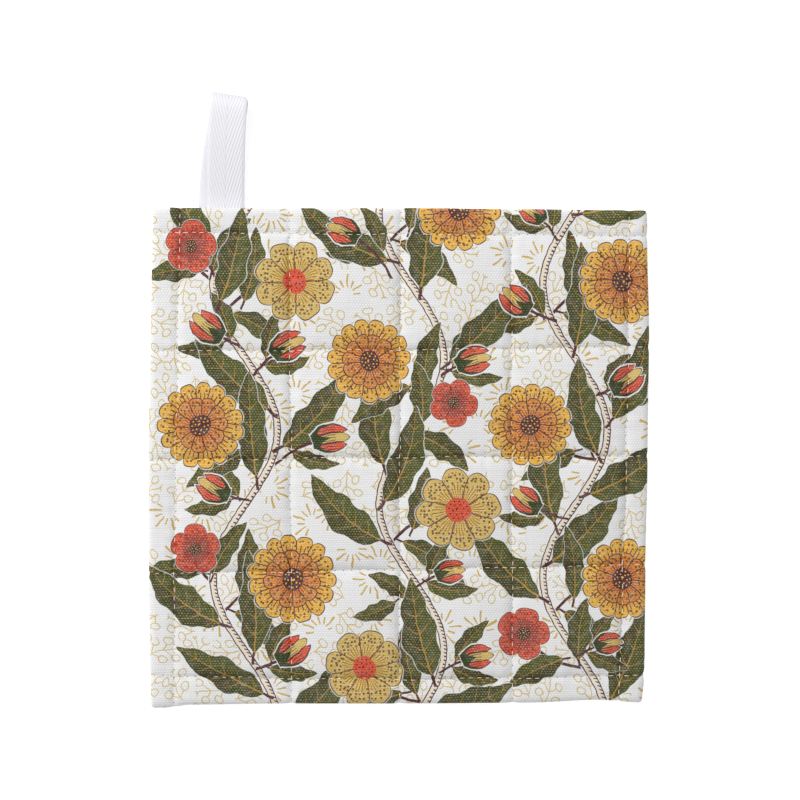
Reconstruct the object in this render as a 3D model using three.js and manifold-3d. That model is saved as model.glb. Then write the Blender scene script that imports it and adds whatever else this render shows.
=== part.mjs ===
// A square quilted potholder, lying on its back: two cloths with wadding between them, sewn
// through in a grid, and a folded tape loop caught in the top edge near the left corner.
// Millimetres, +Z up. +Y points to the edge that carries the loop, +X to the right of it.
import * as THREE from 'three';
import { mergeVertices } from 'three/addons/utils/BufferGeometryUtils.js';
import Module from 'manifold-3d';

// Pad in plan
const SIDE = 200; // sewn size of the square
const CORNER_TUCK = 1.0; // how far each turned corner is pulled in
const NOTCH = 0.5; // how far the edge is pulled in where a quilting line ends

// Pad in section, heights above the surface it lies on
const CROWN_TOP = 7.2; // top of the big pillows
const CHANNEL_TOP = 3.8; // cloth at the bottom of a sewn channel, on the front
const CHANNEL_FOOT = 1.2; // the same on the back
const RIM_TOP = 4.4; // where the front cloth starts to turn down at the edge
const RIM_FOOT = 0.4; // where the back cloth starts to turn up
const RIM_BAND_TOP = 3.9; // upright band of the turned edge
const RIM_BAND_FOOT = 0.7;
const RIM_TURN = 0.7; // width of the turn, in plan
const MARGIN_PUFF = 0.45; // crown of the narrow border cells, as a share of a big pillow's
const MARGIN_SAG = 0.5; // the same underneath
const PILLOW_POWER = 0.6; // under 1 gives full pillows that drop quickly to the channels
const FLAT_FROM = 0.17; // the share of a cell, from each seam, that is lifted off the surface

// Steps across a big pillow and across a border cell, as shares of the cell
const PILLOW_STEPS = [0.07, FLAT_FROM, 0.32, 0.5, 0.68, 1 - FLAT_FROM, 0.93, 1];
const NEAR_MARGIN_STEPS = [0.3, 0.65, 1];
const FAR_MARGIN_STEPS = [0.35, 0.7, 1];

// Quilting lines, as distances from the middle of the square at both ends and half way
const UPRIGHT_LINES = [
  { name: 'left border', foot: -91.3, half: -90.3, top: -88.5 },
  { name: 'left', foot: -43.9, half: -44.2, top: -44.6 },
  { name: 'middle', foot: -0.1, half: 0.0, top: 0.4 },
  { name: 'right', foot: 45.7, half: 45.2, top: 44.8 },
  { name: 'right border', foot: 88.9, half: 91.9, top: 92.9 },
];
const LEVEL_LINES = [
  { name: 'foot border', left: -89.5, half: -90.2, right: -87.9 },
  { name: 'lower', left: -47.3, half: -46.2, right: -44.2 },
  { name: 'middle', left: -0.8, half: -1.1, right: -0.8 },
  { name: 'upper', left: 42.8, half: 42.7, right: 43.9 },
  { name: 'top border', left: 90.5, half: 89.6, right: 89.0 },
];

// How far each side stands out past the square, from its left or foot end (0) to the other (1)
const EDGE_BOW = [
  { along: 0.0, foot: 1.6, top: 0.0, left: 0.3, right: -2.2 },
  { along: 0.04, foot: 1.4, top: 0.0, left: 0.4, right: -1.5 },
  { along: 0.08, foot: 0.4, top: 0.0, left: 0.4, right: -1.0 },
  { along: 0.25, foot: 0.0, top: -0.4, left: 0.8, right: -0.5 },
  { along: 0.5, foot: 0.2, top: -0.5, left: 1.0, right: 0.0 },
  { along: 0.75, foot: -0.4, top: -0.6, left: 0.0, right: 0.8 },
  { along: 0.93, foot: -1.5, top: -1.2, left: -0.4, right: 0.0 },
  { along: 1.0, foot: -0.8, top: -1.6, left: -0.8, right: -0.6 },
];

// Loop: one length of tape, folded in half
const TAPE_WIDTH = 15;
const TAPE_THICK = 1.0;
const LEG_GAP = 0.1; // between the two ends in the seam
const LOOP_FRONT_X = -69.6; // middle of the front leg where it leaves the edge
const LOOP_BACK_X = -72.9; // middle of the back leg, fanned out to the left
const LOOP_TOP_X = -68.3; // middle of the fold
const LOOP_REACH = 46.2; // edge to the outside of the fold
const LOOP_RISE = 8.6; // height of the loop over the surface
const TUCKED = 6; // length of each end inside the seam
const SEAT_GAP = 0.3; // between the tape and the cloth around it
const STACK_MID = (RIM_BAND_TOP + RIM_BAND_FOOT) / 2;
const LEG_STEP = (TAPE_THICK + LEG_GAP) / 2;
const LOOP_STEPS = 71; // an odd number leaves one upright face at the crest of the fold
const TAPE_SPLITS = 3; // faces across the tape

// Middle of the tape along its way: run is the distance out from the edge, as a share of the
// loop's reach, rise the height as a share of the loop's, side the share of the way from the
// seam to the fold sideways, lean the turn of the tape in plan, in degrees
const TAPE_WAY = [
  { name: 'front, near seam', run: 0.1, rise: 0.36, side: 0.1, lean: 1.6 },
  { name: 'front, lower', run: 0.27, rise: 0.53, side: 0.27, lean: 1.6 },
  { name: 'front, middle', run: 0.48, rise: 0.74, side: 0.48, lean: 1.8 },
  { name: 'front, upper', run: 0.7, rise: 0.91, side: 0.72, lean: 2.6 },
  { name: 'shoulder', run: 0.87, rise: 0.94, side: 0.9, lean: 5.0 },
  { name: 'fold, front', run: 0.965, rise: 0.74, side: 1.0, lean: 6.5 },
  { name: 'fold, crest', run: 0.989, rise: 0.5, side: 1.0, lean: 6.5 },
  { name: 'fold, back', run: 0.965, rise: 0.25, side: 1.0, lean: 6.5 },
  { name: 'heel', run: 0.88, rise: 0.075, side: 0.93, lean: 6.0 },
  { name: 'back, upper', run: 0.7, rise: 0.0582, side: 0.72, lean: 5.6 },
  { name: 'back, middle', run: 0.48, rise: 0.0582, side: 0.48, lean: 5.5 },
  { name: 'back, lower', run: 0.27, rise: 0.0582, side: 0.27, lean: 5.5 },
  { name: 'back, near seam', run: 0.1, rise: 0.12, side: 0.1, lean: 5.5 },
];

// A value read between the rows of a table, by one column
function readTable(rows, key, column, at) {
  const next = Math.max(1, rows.findIndex((row) => row[key] >= at));
  const low = rows[next - 1];
  const high = rows[next];
  const share = THREE.MathUtils.smoothstep(at, low[key], high[key]);
  return THREE.MathUtils.lerp(low[column], high[column], share);
}

// A gentle bend through an end, a middle and another end, at shares 0, 0.5 and 1
function bend(start, half, end, share) {
  const sag = half - (start + end) / 2;
  return THREE.MathUtils.lerp(start, end, share) + 4 * sag * share * (1 - share);
}

function edgeOffset(side, along) {
  return readTable(EDGE_BOW, 'along', side, along);
}

// Grid lines across the square: the left or foot edge, the quilting lines, and the other edge,
// with the steps between them
function gridStations() {
  const stations = [{ cell: 0, share: 0 }];
  const cells = UPRIGHT_LINES.length + 1;
  for (let cell = 0; cell < cells; cell += 1) {
    let steps = PILLOW_STEPS;
    if (cell === 0) steps = NEAR_MARGIN_STEPS;
    if (cell === cells - 1) steps = FAR_MARGIN_STEPS;
    steps.forEach((share) => stations.push({ cell, share }));
  }
  return stations;
}

function nominal(station) {
  const lines = [-SIDE / 2, ...UPRIGHT_LINES.map((line) => line.half), SIDE / 2];
  const at = THREE.MathUtils.lerp(lines[station.cell], lines[station.cell + 1], station.share);
  return at / SIDE + 0.5;
}

// Where a station's line runs, at a share of the way along it
function lineAcross(station, lines, ends, edges, along) {
  const places = lines.map((line) => bend(line[ends[0]], line.half, line[ends[1]], along));
  const low = -SIDE / 2 - edgeOffset(edges[0], along);
  const high = SIDE / 2 + edgeOffset(edges[1], along);
  const all = [low, ...places, high];
  return THREE.MathUtils.lerp(all[station.cell], all[station.cell + 1], station.share);
}

// How far a station lies into a pillow: its share of the crown, and how near it is to the edge
function pillowShare(station) {
  const last = UPRIGHT_LINES.length;
  const { cell, share } = station;
  if (cell === 0 || cell === last) {
    const hump = Math.sin(Math.PI * share);
    return { top: MARGIN_PUFF * hump, foot: MARGIN_SAG * hump, toEdge: cell === 0 ? 1 - share : share };
  }
  const fromSeam = Math.min(share, 1 - share);
  return {
    top: Math.sin(Math.PI * share) ** PILLOW_POWER,
    foot: THREE.MathUtils.smoothstep(fromSeam, 0, FLAT_FROM),
    toEdge: 0,
  };
}

function padHeights(column, row) {
  const across = pillowShare(column);
  const along = pillowShare(row);
  const toEdge = Math.max(across.toEdge, along.toEdge);
  const crown = (CROWN_TOP - CHANNEL_TOP) * across.top * along.top;
  const top = THREE.MathUtils.lerp(CHANNEL_TOP, RIM_TOP, toEdge) + crown;
  const lifted = THREE.MathUtils.lerp(CHANNEL_FOOT, RIM_FOOT, toEdge);
  const foot = Math.max(0, lifted - CHANNEL_FOOT * across.foot * along.foot);
  return { top, foot };
}

// The pad's front and back as two grids of points, joined round the edge by the turned rim
function padGeometry() {
  const stations = gridStations();
  const last = stations.length - 1;
  const shares = stations.map(nominal);
  const positions = [];
  const faces = [];
  const addPoint = (x, y, z) => positions.push(x, y, z) / 3 - 1;
  const addQuad = (a, b, c, d) => faces.push(a, b, c, a, c, d);
  const onLine = (i) => stations[i].share === 1 && i < last;

  const place = (i, j) => {
    let x = lineAcross(stations[i], UPRIGHT_LINES, ['foot', 'top'], ['left', 'right'], shares[j]);
    let y = lineAcross(stations[j], LEVEL_LINES, ['left', 'right'], ['foot', 'top'], shares[i]);
    const inX = i === 0 ? 1 : -1;
    const inY = j === 0 ? 1 : -1;
    const onX = i === 0 || i === last;
    const onY = j === 0 || j === last;
    const corner = onX && onY ? CORNER_TUCK : 0;
    x += onX ? inX * (corner + (onLine(j) ? NOTCH : 0)) : 0;
    y += onY ? inY * (corner + (onLine(i) ? NOTCH : 0)) : 0;
    return { x, y, inX: onX ? inX : 0, inY: onY ? inY : 0 };
  };

  const sheet = (key) => stations.map((column, i) => stations.map((row, j) => {
    const spot = place(i, j);
    const height = padHeights(column, row)[key];
    return addPoint(spot.x + spot.inX * RIM_TURN, spot.y + spot.inY * RIM_TURN, height);
  }));
  const front = sheet('top');
  const back = sheet('foot');
  for (let i = 0; i < last; i += 1) {
    for (let j = 0; j < last; j += 1) {
      addQuad(front[i][j], front[i + 1][j], front[i + 1][j + 1], front[i][j + 1]);
      addQuad(back[i][j], back[i][j + 1], back[i + 1][j + 1], back[i + 1][j]);
    }
  }

  const around = [];
  for (let i = 0; i < last; i += 1) around.push([i, 0]);
  for (let j = 0; j < last; j += 1) around.push([last, j]);
  for (let i = last; i > 0; i -= 1) around.push([i, last]);
  for (let j = last; j > 0; j -= 1) around.push([0, j]);
  const band = (height) => around.map(([i, j]) => {
    const spot = place(i, j);
    return addPoint(spot.x, spot.y, height);
  });
  const rings = [
    around.map(([i, j]) => back[i][j]),
    band(RIM_BAND_FOOT),
    band(RIM_BAND_TOP),
    around.map(([i, j]) => front[i][j]),
  ];
  for (let ring = 0; ring < rings.length - 1; ring += 1) {
    around.forEach((_, k) => {
      const next = (k + 1) % around.length;
      addQuad(rings[ring][k], rings[ring][next], rings[ring + 1][next], rings[ring + 1][k]);
    });
  }
  return indexed(positions, faces);
}

function indexed(positions, faces) {
  const geometry = new THREE.BufferGeometry();
  geometry.setAttribute('position', new THREE.Float32BufferAttribute(positions, 3));
  geometry.setIndex(faces);
  return geometry;
}

// The tape's way as stations: middle, turn in plan, and the normal that its thickness follows
function tapeStations() {
  const edge = SIDE / 2;
  const startX = (row) => (row.name.startsWith('back') || row.name === 'heel' ? LOOP_BACK_X : LOOP_FRONT_X);
  const middles = TAPE_WAY.map((row) => new THREE.Vector3(
    THREE.MathUtils.lerp(startX(row), LOOP_TOP_X, row.side),
    edge + LOOP_REACH * row.run,
    LOOP_RISE * row.rise,
  ));
  const seam = (x, z, out) => new THREE.Vector3(x, edge + out, z);
  const highZ = STACK_MID + LEG_STEP;
  const lowZ = STACK_MID - LEG_STEP;
  const points = [
    seam(LOOP_FRONT_X, highZ, -TUCKED),
    seam(LOOP_FRONT_X, highZ, 0),
    ...middles,
    seam(LOOP_BACK_X, lowZ, 0),
    seam(LOOP_BACK_X, lowZ, -TUCKED),
  ];
  const front = TAPE_WAY[0].lean;
  const back = TAPE_WAY[TAPE_WAY.length - 1].lean;
  const leans = [front, front, ...TAPE_WAY.map((row) => row.lean), back, back];
  const way = new THREE.CatmullRomCurve3(points, false, 'centripetal');
  const stations = [];
  for (let step = 0; step <= LOOP_STEPS; step += 1) {
    const share = step / LOOP_STEPS;
    const place = way.getUtoTmapping(share) * (leans.length - 1);
    const row = Math.min(Math.floor(place), leans.length - 2);
    const lean = THREE.MathUtils.lerp(leans[row], leans[row + 1], place - row);
    const turn = THREE.MathUtils.degToRad(lean);
    const across = new THREE.Vector3(Math.cos(turn), -Math.sin(turn), 0);
    const normal = across.clone().cross(way.getTangentAt(share)).normalize();
    stations.push({ middle: way.getPointAt(share), across, normal });
  }
  return stations;
}

// The tape's section swept along its way and closed at both ends
function tapeGeometry() {
  const positions = [];
  const faces = [];
  const ring = TAPE_SPLITS + 1;
  const stations = tapeStations();
  stations.forEach(({ middle, across, normal }) => {
    [0.5, -0.5].forEach((layer) => {
      for (let k = 0; k < ring; k += 1) {
        const point = middle.clone()
          .addScaledVector(across, TAPE_WIDTH * (k / TAPE_SPLITS - 0.5))
          .addScaledVector(normal, TAPE_THICK * layer);
        positions.push(point.x, point.y, Math.max(0, point.z));
      }
    });
  });
  const at = (station, layer, k) => (station * 2 + layer) * ring + k;
  const addQuad = (a, b, c, d) => faces.push(a, b, c, a, c, d);
  const end = stations.length - 1;
  for (let s = 0; s < end; s += 1) {
    for (let k = 0; k < TAPE_SPLITS; k += 1) {
      addQuad(at(s, 0, k), at(s, 0, k + 1), at(s + 1, 0, k + 1), at(s + 1, 0, k));
      addQuad(at(s, 1, k), at(s + 1, 1, k), at(s + 1, 1, k + 1), at(s, 1, k + 1));
    }
    addQuad(at(s, 0, 0), at(s + 1, 0, 0), at(s + 1, 1, 0), at(s, 1, 0));
    addQuad(at(s, 0, ring - 1), at(s, 1, ring - 1), at(s + 1, 1, ring - 1), at(s + 1, 0, ring - 1));
  }
  for (let k = 0; k < TAPE_SPLITS; k += 1) {
    addQuad(at(0, 0, k), at(0, 1, k), at(0, 1, k + 1), at(0, 0, k + 1));
    addQuad(at(end, 0, k), at(end, 0, k + 1), at(end, 1, k + 1), at(end, 1, k));
  }
  return indexed(positions, faces);
}

// The slot in the edge that the tape's two ends are sewn into, a seat gap wider than they are
function seamSlotGeometry(tape) {
  const inSeam = new THREE.Box3();
  const point = new THREE.Vector3();
  for (let i = 0; i < tape.attributes.position.count; i += 1) {
    point.fromBufferAttribute(tape.attributes.position, i);
    if (point.y < SIDE / 2 + RIM_TURN) inSeam.expandByPoint(point);
  }
  inSeam.expandByScalar(SEAT_GAP);
  inSeam.max.y = SIDE / 2 + 2 * RIM_TURN;
  const size = inSeam.getSize(new THREE.Vector3());
  const middle = inSeam.getCenter(new THREE.Vector3());
  return new THREE.BoxGeometry(size.x, size.y, size.z).translate(middle.x, middle.y, middle.z);
}

const wasm = await Module();
wasm.setup();

function toSolid(geometry) {
  const bare = geometry.clone();
  bare.deleteAttribute('normal');
  bare.deleteAttribute('uv');
  const merged = mergeVertices(bare);
  return new wasm.Manifold(new wasm.Mesh({
    numProp: 3,
    vertProperties: new Float32Array(merged.attributes.position.array),
    triVerts: new Uint32Array(merged.index.array),
  }));
}

function fromSolid(solid) {
  const mesh = solid.getMesh();
  const geometry = indexed(Array.from(mesh.vertProperties), Array.from(mesh.triVerts));
  geometry.computeVertexNormals();
  return geometry;
}

function quiltedPad(tape) {
  const slotted = toSolid(padGeometry()).subtract(toSolid(seamSlotGeometry(tape)));
  const cloth = new THREE.MeshStandardMaterial({ color: '#ac9d85', roughness: 0.9, metalness: 0 });
  const pad = new THREE.Mesh(fromSolid(slotted), cloth);
  pad.name = 'quilted_pad';
  return pad;
}

function hangingLoop(tape) {
  tape.computeVertexNormals();
  const cotton = new THREE.MeshStandardMaterial({ color: '#e9e9ee', roughness: 0.85, metalness: 0 });
  const loop = new THREE.Mesh(tape, cotton);
  loop.name = 'hanging_loop';
  return loop;
}

// The origin is the middle of the whole thing's footprint, on the surface it lies on
const potholder = new THREE.Group();
const pieces = new THREE.Group();
const tapeShape = tapeGeometry();
pieces.add(quiltedPad(tapeShape), hangingLoop(tapeShape));
const reach = new THREE.Box3().setFromObject(pieces).getCenter(new THREE.Vector3());
pieces.position.set(-reach.x, -reach.y, 0);
potholder.add(pieces);

export default potholder;
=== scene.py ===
"""A square quilted potholder of printed cotton with a tape loop, dressed around its packed frame."""
import math
import random
from types import SimpleNamespace

import bpy
import numpy as np
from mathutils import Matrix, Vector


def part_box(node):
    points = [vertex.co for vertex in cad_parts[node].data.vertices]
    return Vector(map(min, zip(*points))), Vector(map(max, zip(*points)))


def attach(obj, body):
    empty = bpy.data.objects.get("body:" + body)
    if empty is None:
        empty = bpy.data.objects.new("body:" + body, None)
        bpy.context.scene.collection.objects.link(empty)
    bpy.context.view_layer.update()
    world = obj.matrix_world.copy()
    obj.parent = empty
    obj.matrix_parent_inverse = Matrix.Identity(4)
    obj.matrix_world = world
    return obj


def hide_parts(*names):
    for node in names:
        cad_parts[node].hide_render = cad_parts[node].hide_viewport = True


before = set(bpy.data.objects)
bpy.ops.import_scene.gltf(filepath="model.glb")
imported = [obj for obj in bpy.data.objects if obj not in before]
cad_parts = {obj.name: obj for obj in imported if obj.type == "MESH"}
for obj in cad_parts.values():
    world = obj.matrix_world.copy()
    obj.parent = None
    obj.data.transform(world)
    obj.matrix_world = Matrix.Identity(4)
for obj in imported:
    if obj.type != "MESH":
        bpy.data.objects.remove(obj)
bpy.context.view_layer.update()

bl_info = {
    "name": "Quilted Potholder",
    "version": (1, 0, 0),
    "blender": (4, 5, 0),
    "location": "3D Viewport > Sidebar > Potholder",
    "description": "Builds a quilted cotton potholder, its stitching and its hanging loop",
    "category": "Add Mesh",
}

PAD_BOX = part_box("quilted_pad")


def table(columns, *rows):
    """Rows as dictionaries, keyed by the columns' names."""
    return [dict(zip(columns.split(), row)) for row in rows]


MM = 0.001  # plans and tables below are in millimetres, round the middle of the square
SIDE = 200.0

# The photograph's frame
IMAGE_SIZE = 800
MM_PER_PIXEL = 0.4032
SQUARE_PIXEL = (399.0, 455.0)  # where the middle of the square lies

# Quilting lines, as distances from the middle of the square at both ends and half way
UPRIGHT_LINES = table(
    "name start half end",
    ("left border", -90.8, -90.1, -88.2),
    ("left", -43.5, -43.7, -44.4),
    ("middle", 0.3, 0.3, 0.8),
    ("right", 45.9, 45.5, 45.3),
    ("right border", 88.6, 91.7, 93.0),
)
LEVEL_LINES = table(
    "name start half end",
    ("foot border", -88.8, -90.4, -88.7),
    ("lower", -47.8, -46.4, -44.1),
    ("middle", -2.1, -1.0, -0.4),
    ("upper", 42.1, 42.5, 43.7),
    ("top border", 89.8, 89.1, 88.3),
)

# How far a quilting line sways, and the dent that it makes in the edge
SEAM_SWAY = 0.35
SWAY_TURN = 25.0  # radians along the whole line
NOTCH_HALF = 1.4
NOTCH_REACH = 5.0  # from the edge to where the dent has gone

# How far each side stands out past the square, from its left or foot end (0) to the other (1)
EDGE_BOW = table(
    "along foot top left right",
    (0.0, 2.2, 0.1, 0.2, -1.9),
    (0.04, 2.0, 0.0, 0.5, -1.1),
    (0.08, 0.9, -0.2, 0.7, -0.8),
    (0.25, 0.4, -0.3, 1.1, -0.5),
    (0.5, 0.4, -0.2, 1.3, 0.4),
    (0.75, 0.1, -0.7, 0.4, 1.0),
    (0.92, -1.1, -1.1, -0.2, 0.3),
    (1.0, 0.0, -1.2, -0.5, 0.2),
)

# The middle of the tape along its way: run is the distance out from the edge and rise the height,
# as shares of the loop's, side the share of the way sideways to the fold, lean the turn in plan
TAPE_WAY = table(
    "leg run rise side lean",
    ("front", 0.1, 0.36, 0.02, 1.0),
    ("front", 0.27, 0.53, 0.08, 1.2),
    ("front", 0.48, 0.74, 0.22, 2.0),
    ("front", 0.7, 0.91, 0.5, 4.0),
    ("front", 0.89, 0.945, 0.85, 7.5),
    ("front", 0.963, 0.8, 1.0, 9.0),
    ("front", 0.989, 0.5, 1.0, 9.0),
    ("back", 0.963, 0.2, 1.0, 9.0),
    ("back", 0.89, 0.062, 0.93, 8.0),
    ("back", 0.7, 0.0582, 0.66, 6.5),
    ("back", 0.48, 0.0582, 0.33, 5.0),
    ("back", 0.27, 0.0582, 0.12, 3.0),
    ("back", 0.1, 0.12, 0.02, 2.0),
)

# Mesh stations across the pad, in millimetres from a seam and from the edge
NEAR_SEAM = [0.0, 0.4, 0.9, 1.6, 2.5, 3.6, 4.9]
NEAR_EDGE = [0.0, 0.12, 0.35, 0.7, 1.15, 1.7, 2.4, 3.3]
OPEN_STEP = 1.3  # between stations away from seams

# The print: stems that climb the cloth, and what grows in their bays
STEM_REPEAT = 118.0
STEM_SWAY = 13.0
STEMS = table(
    "middle crest",
    (-62.0, 9.5),
    (5.0, 39.0),
    (71.0, 9.5),
)
LEAF_LAYERS = ("leaf_low", "leaf_mid", "leaf_high", "leaf_top")
BLOOM_KINDS = ("marigold", "cosmos", "rose")
BLOOMS = table(
    "kind x y radius",
    ("marigold", -80.0, 12.0, 17.0),
    ("cosmos", -42.0, 70.0, 16.0),
    ("marigold", -43.0, -50.0, 17.5),
    ("marigold", -12.0, 38.0, 16.5),
    ("cosmos", 24.0, -22.0, 16.5),
    ("marigold", 24.0, 99.0, 16.5),
    ("cosmos", -14.0, -86.0, 15.5),
    ("marigold", 53.0, 12.0, 16.5),
    ("marigold", 90.0, 70.0, 17.0),
    ("marigold", 90.0, -50.0, 16.0),
    ("rose", -84.0, 84.0, 10.5),
    ("rose", 22.0, 21.0, 9.5),
    ("rose", -82.0, -38.0, 10.0),
    ("rose", 50.0, -72.0, 10.5),
)
BUDS = table(
    "stem y heading stalk",
    (1, 76.0, 146.0, 20.0),
    (0, 0.0, 18.0, 17.0),
    (2, 53.0, 150.0, 11.0),
    (0, 34.0, 38.0, 10.0),
    (0, -87.0, 28.0, 9.0),
    (2, -27.0, 152.0, 11.0),
    (1, -86.0, 20.0, 9.0),
    (1, 33.0, 25.0, 7.0),
    (2, 88.0, 135.0, 9.0),
    (2, -80.0, 20.0, 8.0),
    (1, -52.0, 22.0, 9.0),
    (1, -60.0, 172.0, 20.0),
    (0, -19.0, 160.0, 8.0),
    (0, 44.0, 150.0, 7.0),
    (2, 24.0, 25.0, 6.0),
)
BUD_LENGTH = 13.0
BUD_WIDTH = 10.5
BUD_SIZES = (0.85, 1.15)
BUD_CURL = 0.35
STALK_DROP = 14.0  # from a bloom down to where its stalk leaves the stem
SPRIG_PITCH = 13.5
SPRIG_REACH = 7.0

# Leaves of a stem, from the lowest up. Each stem's leaves start a little higher than the last one's
LEAVES_OF_STEM = 16
LEAF_PITCH = 14.2
LEAF_START = -112.0
LEAF_SHIFT = 5.0

# Leaves by what they grow beside, with ranges of the turn away from its growth, of the length, of
# the width and of the curl, which below 0 bends the leaf back towards that growth
LEAF_SORTS = {row["beside"]: row for row in table(
    "beside turn stalk length width curl",
    ("bloom", (0.7, 1.0), 2.0, (24, 31), (9.0, 11.0), (0.2, 0.8)),
    ("bud", (0.75, 1.0), 1.5, (17, 22), (7.0, 8.5), (-0.3, -0.8)),
    ("stem", (0.62, 0.85), 4.0, (38, 46), (13.5, 16.0), (-0.1, -0.7)),
)}
# The pairs of leaves on a bloom's and a bud's stalk: the side, and the share of the way along it
BLOOM_LEAVES = ((-1, 0.12), (1, 0.3))
BUD_LEAVES = ((1, 0.62), (-1, 0.4))


def paint(red, green, blue):
    """A colour as the shader wants it, from the usual 0 to 255 values."""
    return tuple((value / 255.0) ** 2.2 for value in (red, green, blue))


# Settings


def length_setting(name, description, millimetres, soft_max=50.0):
    return bpy.props.FloatProperty(
        name=name, description=description, default=millimetres * MM, min=0.0,
        soft_max=soft_max * MM, precision=5, subtype="DISTANCE", unit="LENGTH",
    )


def share_setting(name, description, value):
    return bpy.props.FloatProperty(
        name=name, description=description, default=value, min=0.0, max=1.0, subtype="FACTOR",
    )


def colour_setting(name, description, *rgb):
    return bpy.props.FloatVectorProperty(
        name=name, description=description, default=paint(*rgb), min=0.0, max=1.0,
        size=3, subtype="COLOR",
    )


class PotholderPadSettings(bpy.types.PropertyGroup):
    """Heights and softness of the quilted square."""

    channel_top: length_setting("Channel", "Height of the front cloth in a sewn channel", 3.8)
    shoulder_rise: length_setting("Shoulder", "How far the wadding lifts the cloth beside a seam", 0.86)
    shoulder_width: length_setting("Shoulder width", "How far from a seam the cloth levels out", 4.4)
    dome_rise: length_setting("Dome", "How much higher a pillow is in its middle", 1.9)
    channel_foot: length_setting("Foot channel", "Height of the back cloth in a sewn channel", 1.2)
    seam_height: length_setting("Side seam", "Height of the seam round the turned edge", 2.5)
    seam_groove: length_setting("Side groove", "Depth of the seam round the turned edge", 0.35)
    roll_width: length_setting("Roll", "Width of the turned edge, in plan", 2.8)
    corner_round: length_setting("Corner", "Reach of the rounding of each corner", 1.6)
    pucker: length_setting("Pucker", "Height of the small puckers along the stitching", 0.15)
    unevenness: length_setting("Unevenness", "Slow rise and fall of the wadding", 0.22)
    notch: length_setting("Notch", "How far a quilting line pulls the edge in", 0.35)


class PotholderPrintSettings(bpy.types.PropertyGroup):
    """Inks of the printed cotton and its weave."""

    ground: colour_setting("Ground", "Bare off-white cotton", 230, 230, 230)
    leaf: colour_setting("Leaf", "Olive green", 66, 76, 21)
    leaf_shade: colour_setting("Leaf shade", "Darker half of a leaf", 51, 61, 19)
    vein: colour_setting("Vein", "Ochre of leaf veins", 174, 134, 62)
    ochre: colour_setting("Ochre", "Outer petals", 229, 177, 66)
    amber: colour_setting("Amber", "Inner petals", 206, 134, 50)
    mustard: colour_setting("Mustard", "Pale petals", 208, 178, 98)
    straw: colour_setting("Straw", "Thread under thin green ink", 216, 205, 142)
    bark: colour_setting("Bark", "Pale stems", 230, 219, 200)
    coral: colour_setting("Coral", "Small blooms", 212, 80, 50)
    maroon: colour_setting("Maroon", "Outlines", 82, 42, 44)
    gold: colour_setting("Gold", "Short dashes on the ground", 200, 167, 80)
    pale_gold: colour_setting("Pale gold", "Fine sprigs on the ground", 208, 184, 118)
    warp_pitch: length_setting("Warp", "Distance from one upright thread to the next", 0.593, 2.0)
    weft_pitch: length_setting("Weft", "Distance from one level thread to the next", 0.967, 2.0)
    thread_show: share_setting("Thread show", "How much bare thread shows in the ink", 0.13)
    weave_depth: length_setting("Relief", "Height of the weave", 0.12, 1.0)


class PotholderStitchSettings(bpy.types.PropertyGroup):
    """The white machine stitching."""

    count: bpy.props.IntProperty(
        name="Stitches", description="Stitches along each quilting line", default=59, min=2, max=200,
    )
    thread: length_setting("Thread", "Diameter of the sewing thread", 0.3, 2.0)
    arch: length_setting("Arch", "How high a stitch stands over its two holes", 0.46, 2.0)
    wander: length_setting("Wander", "How far a hole may lie beside the line", 0.2, 2.0)
    margin: length_setting("Margin", "Distance from the edge to the first hole", 1.6)
    colour: colour_setting("Colour", "Off-white cotton thread", 231, 230, 222)


class PotholderLoopSettings(bpy.types.PropertyGroup):
    """The folded herringbone tape."""

    width: length_setting("Width", "Width of the tape", 15.0)
    thickness: length_setting("Thickness", "Thickness of the tape", 0.8)
    reach: length_setting("Reach", "From the edge to the outside of the fold", 45.7, 200.0)
    rise: length_setting("Rise", "Height of the loop over the surface", 8.6)
    tucked: length_setting("Tucked", "Length of each end inside the seam", 5.0)
    ridge_pitch: length_setting("Ridge pitch", "From one woven ridge to the next", 1.2, 5.0)
    colour: colour_setting("Colour", "White cotton", 225, 225, 230)


class PotholderStudioSettings(bpy.types.PropertyGroup):
    """Floor, lights and camera."""

    camera_height: bpy.props.FloatProperty(
        name="Camera height", description="Camera over the floor", default=1.5, min=0.2,
        subtype="DISTANCE", unit="LENGTH",
    )
    key_power: bpy.props.FloatProperty(
        name="Key", description="Power of the large light at the upper left", default=20.0,
        min=0.0, unit="POWER",
    )
    fill: bpy.props.FloatProperty(
        name="Fill", description="Strength of the light from all round", default=0.58, min=0.0,
    )
    floor_colour: colour_setting("Floor", "Plain pale floor", 250, 250, 250)
    floor_glow: bpy.props.FloatProperty(
        name="Floor glow", description="Light from under the floor, as on a light table", default=0.45,
        min=0.0,
    )


SETTINGS = {
    "potholder_pad": PotholderPadSettings,
    "potholder_print": PotholderPrintSettings,
    "potholder_stitches": PotholderStitchSettings,
    "potholder_loop": PotholderLoopSettings,
    "potholder_studio": PotholderStudioSettings,
}


# Plan of the square


def read_table(rows, key, column, at):
    """Values read between the rows of a table, by one column, with smooth steps."""
    at = np.asarray(at, dtype=float)
    keys = np.array([row[key] for row in rows])
    values = np.array([row[column] for row in rows])
    low = np.clip(np.searchsorted(keys, at, side="left") - 1, 0, len(rows) - 2)
    share = np.clip((at - keys[low]) / (keys[low + 1] - keys[low]), 0.0, 1.0)
    share = share * share * (3.0 - 2.0 * share)
    return values[low] + (values[low + 1] - values[low]) * share


def bend(line, share):
    """A gentle bend through a line's start, half and end, with the small sway of sewing."""
    sag = line["half"] - (line["start"] + line["end"]) / 2
    sway = SEAM_SWAY * np.sin(math.pi * share) * np.sin(SWAY_TURN * share + line["half"])
    return line["start"] + (line["end"] - line["start"]) * share + 4 * sag * share * (1 - share) + sway


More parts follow.
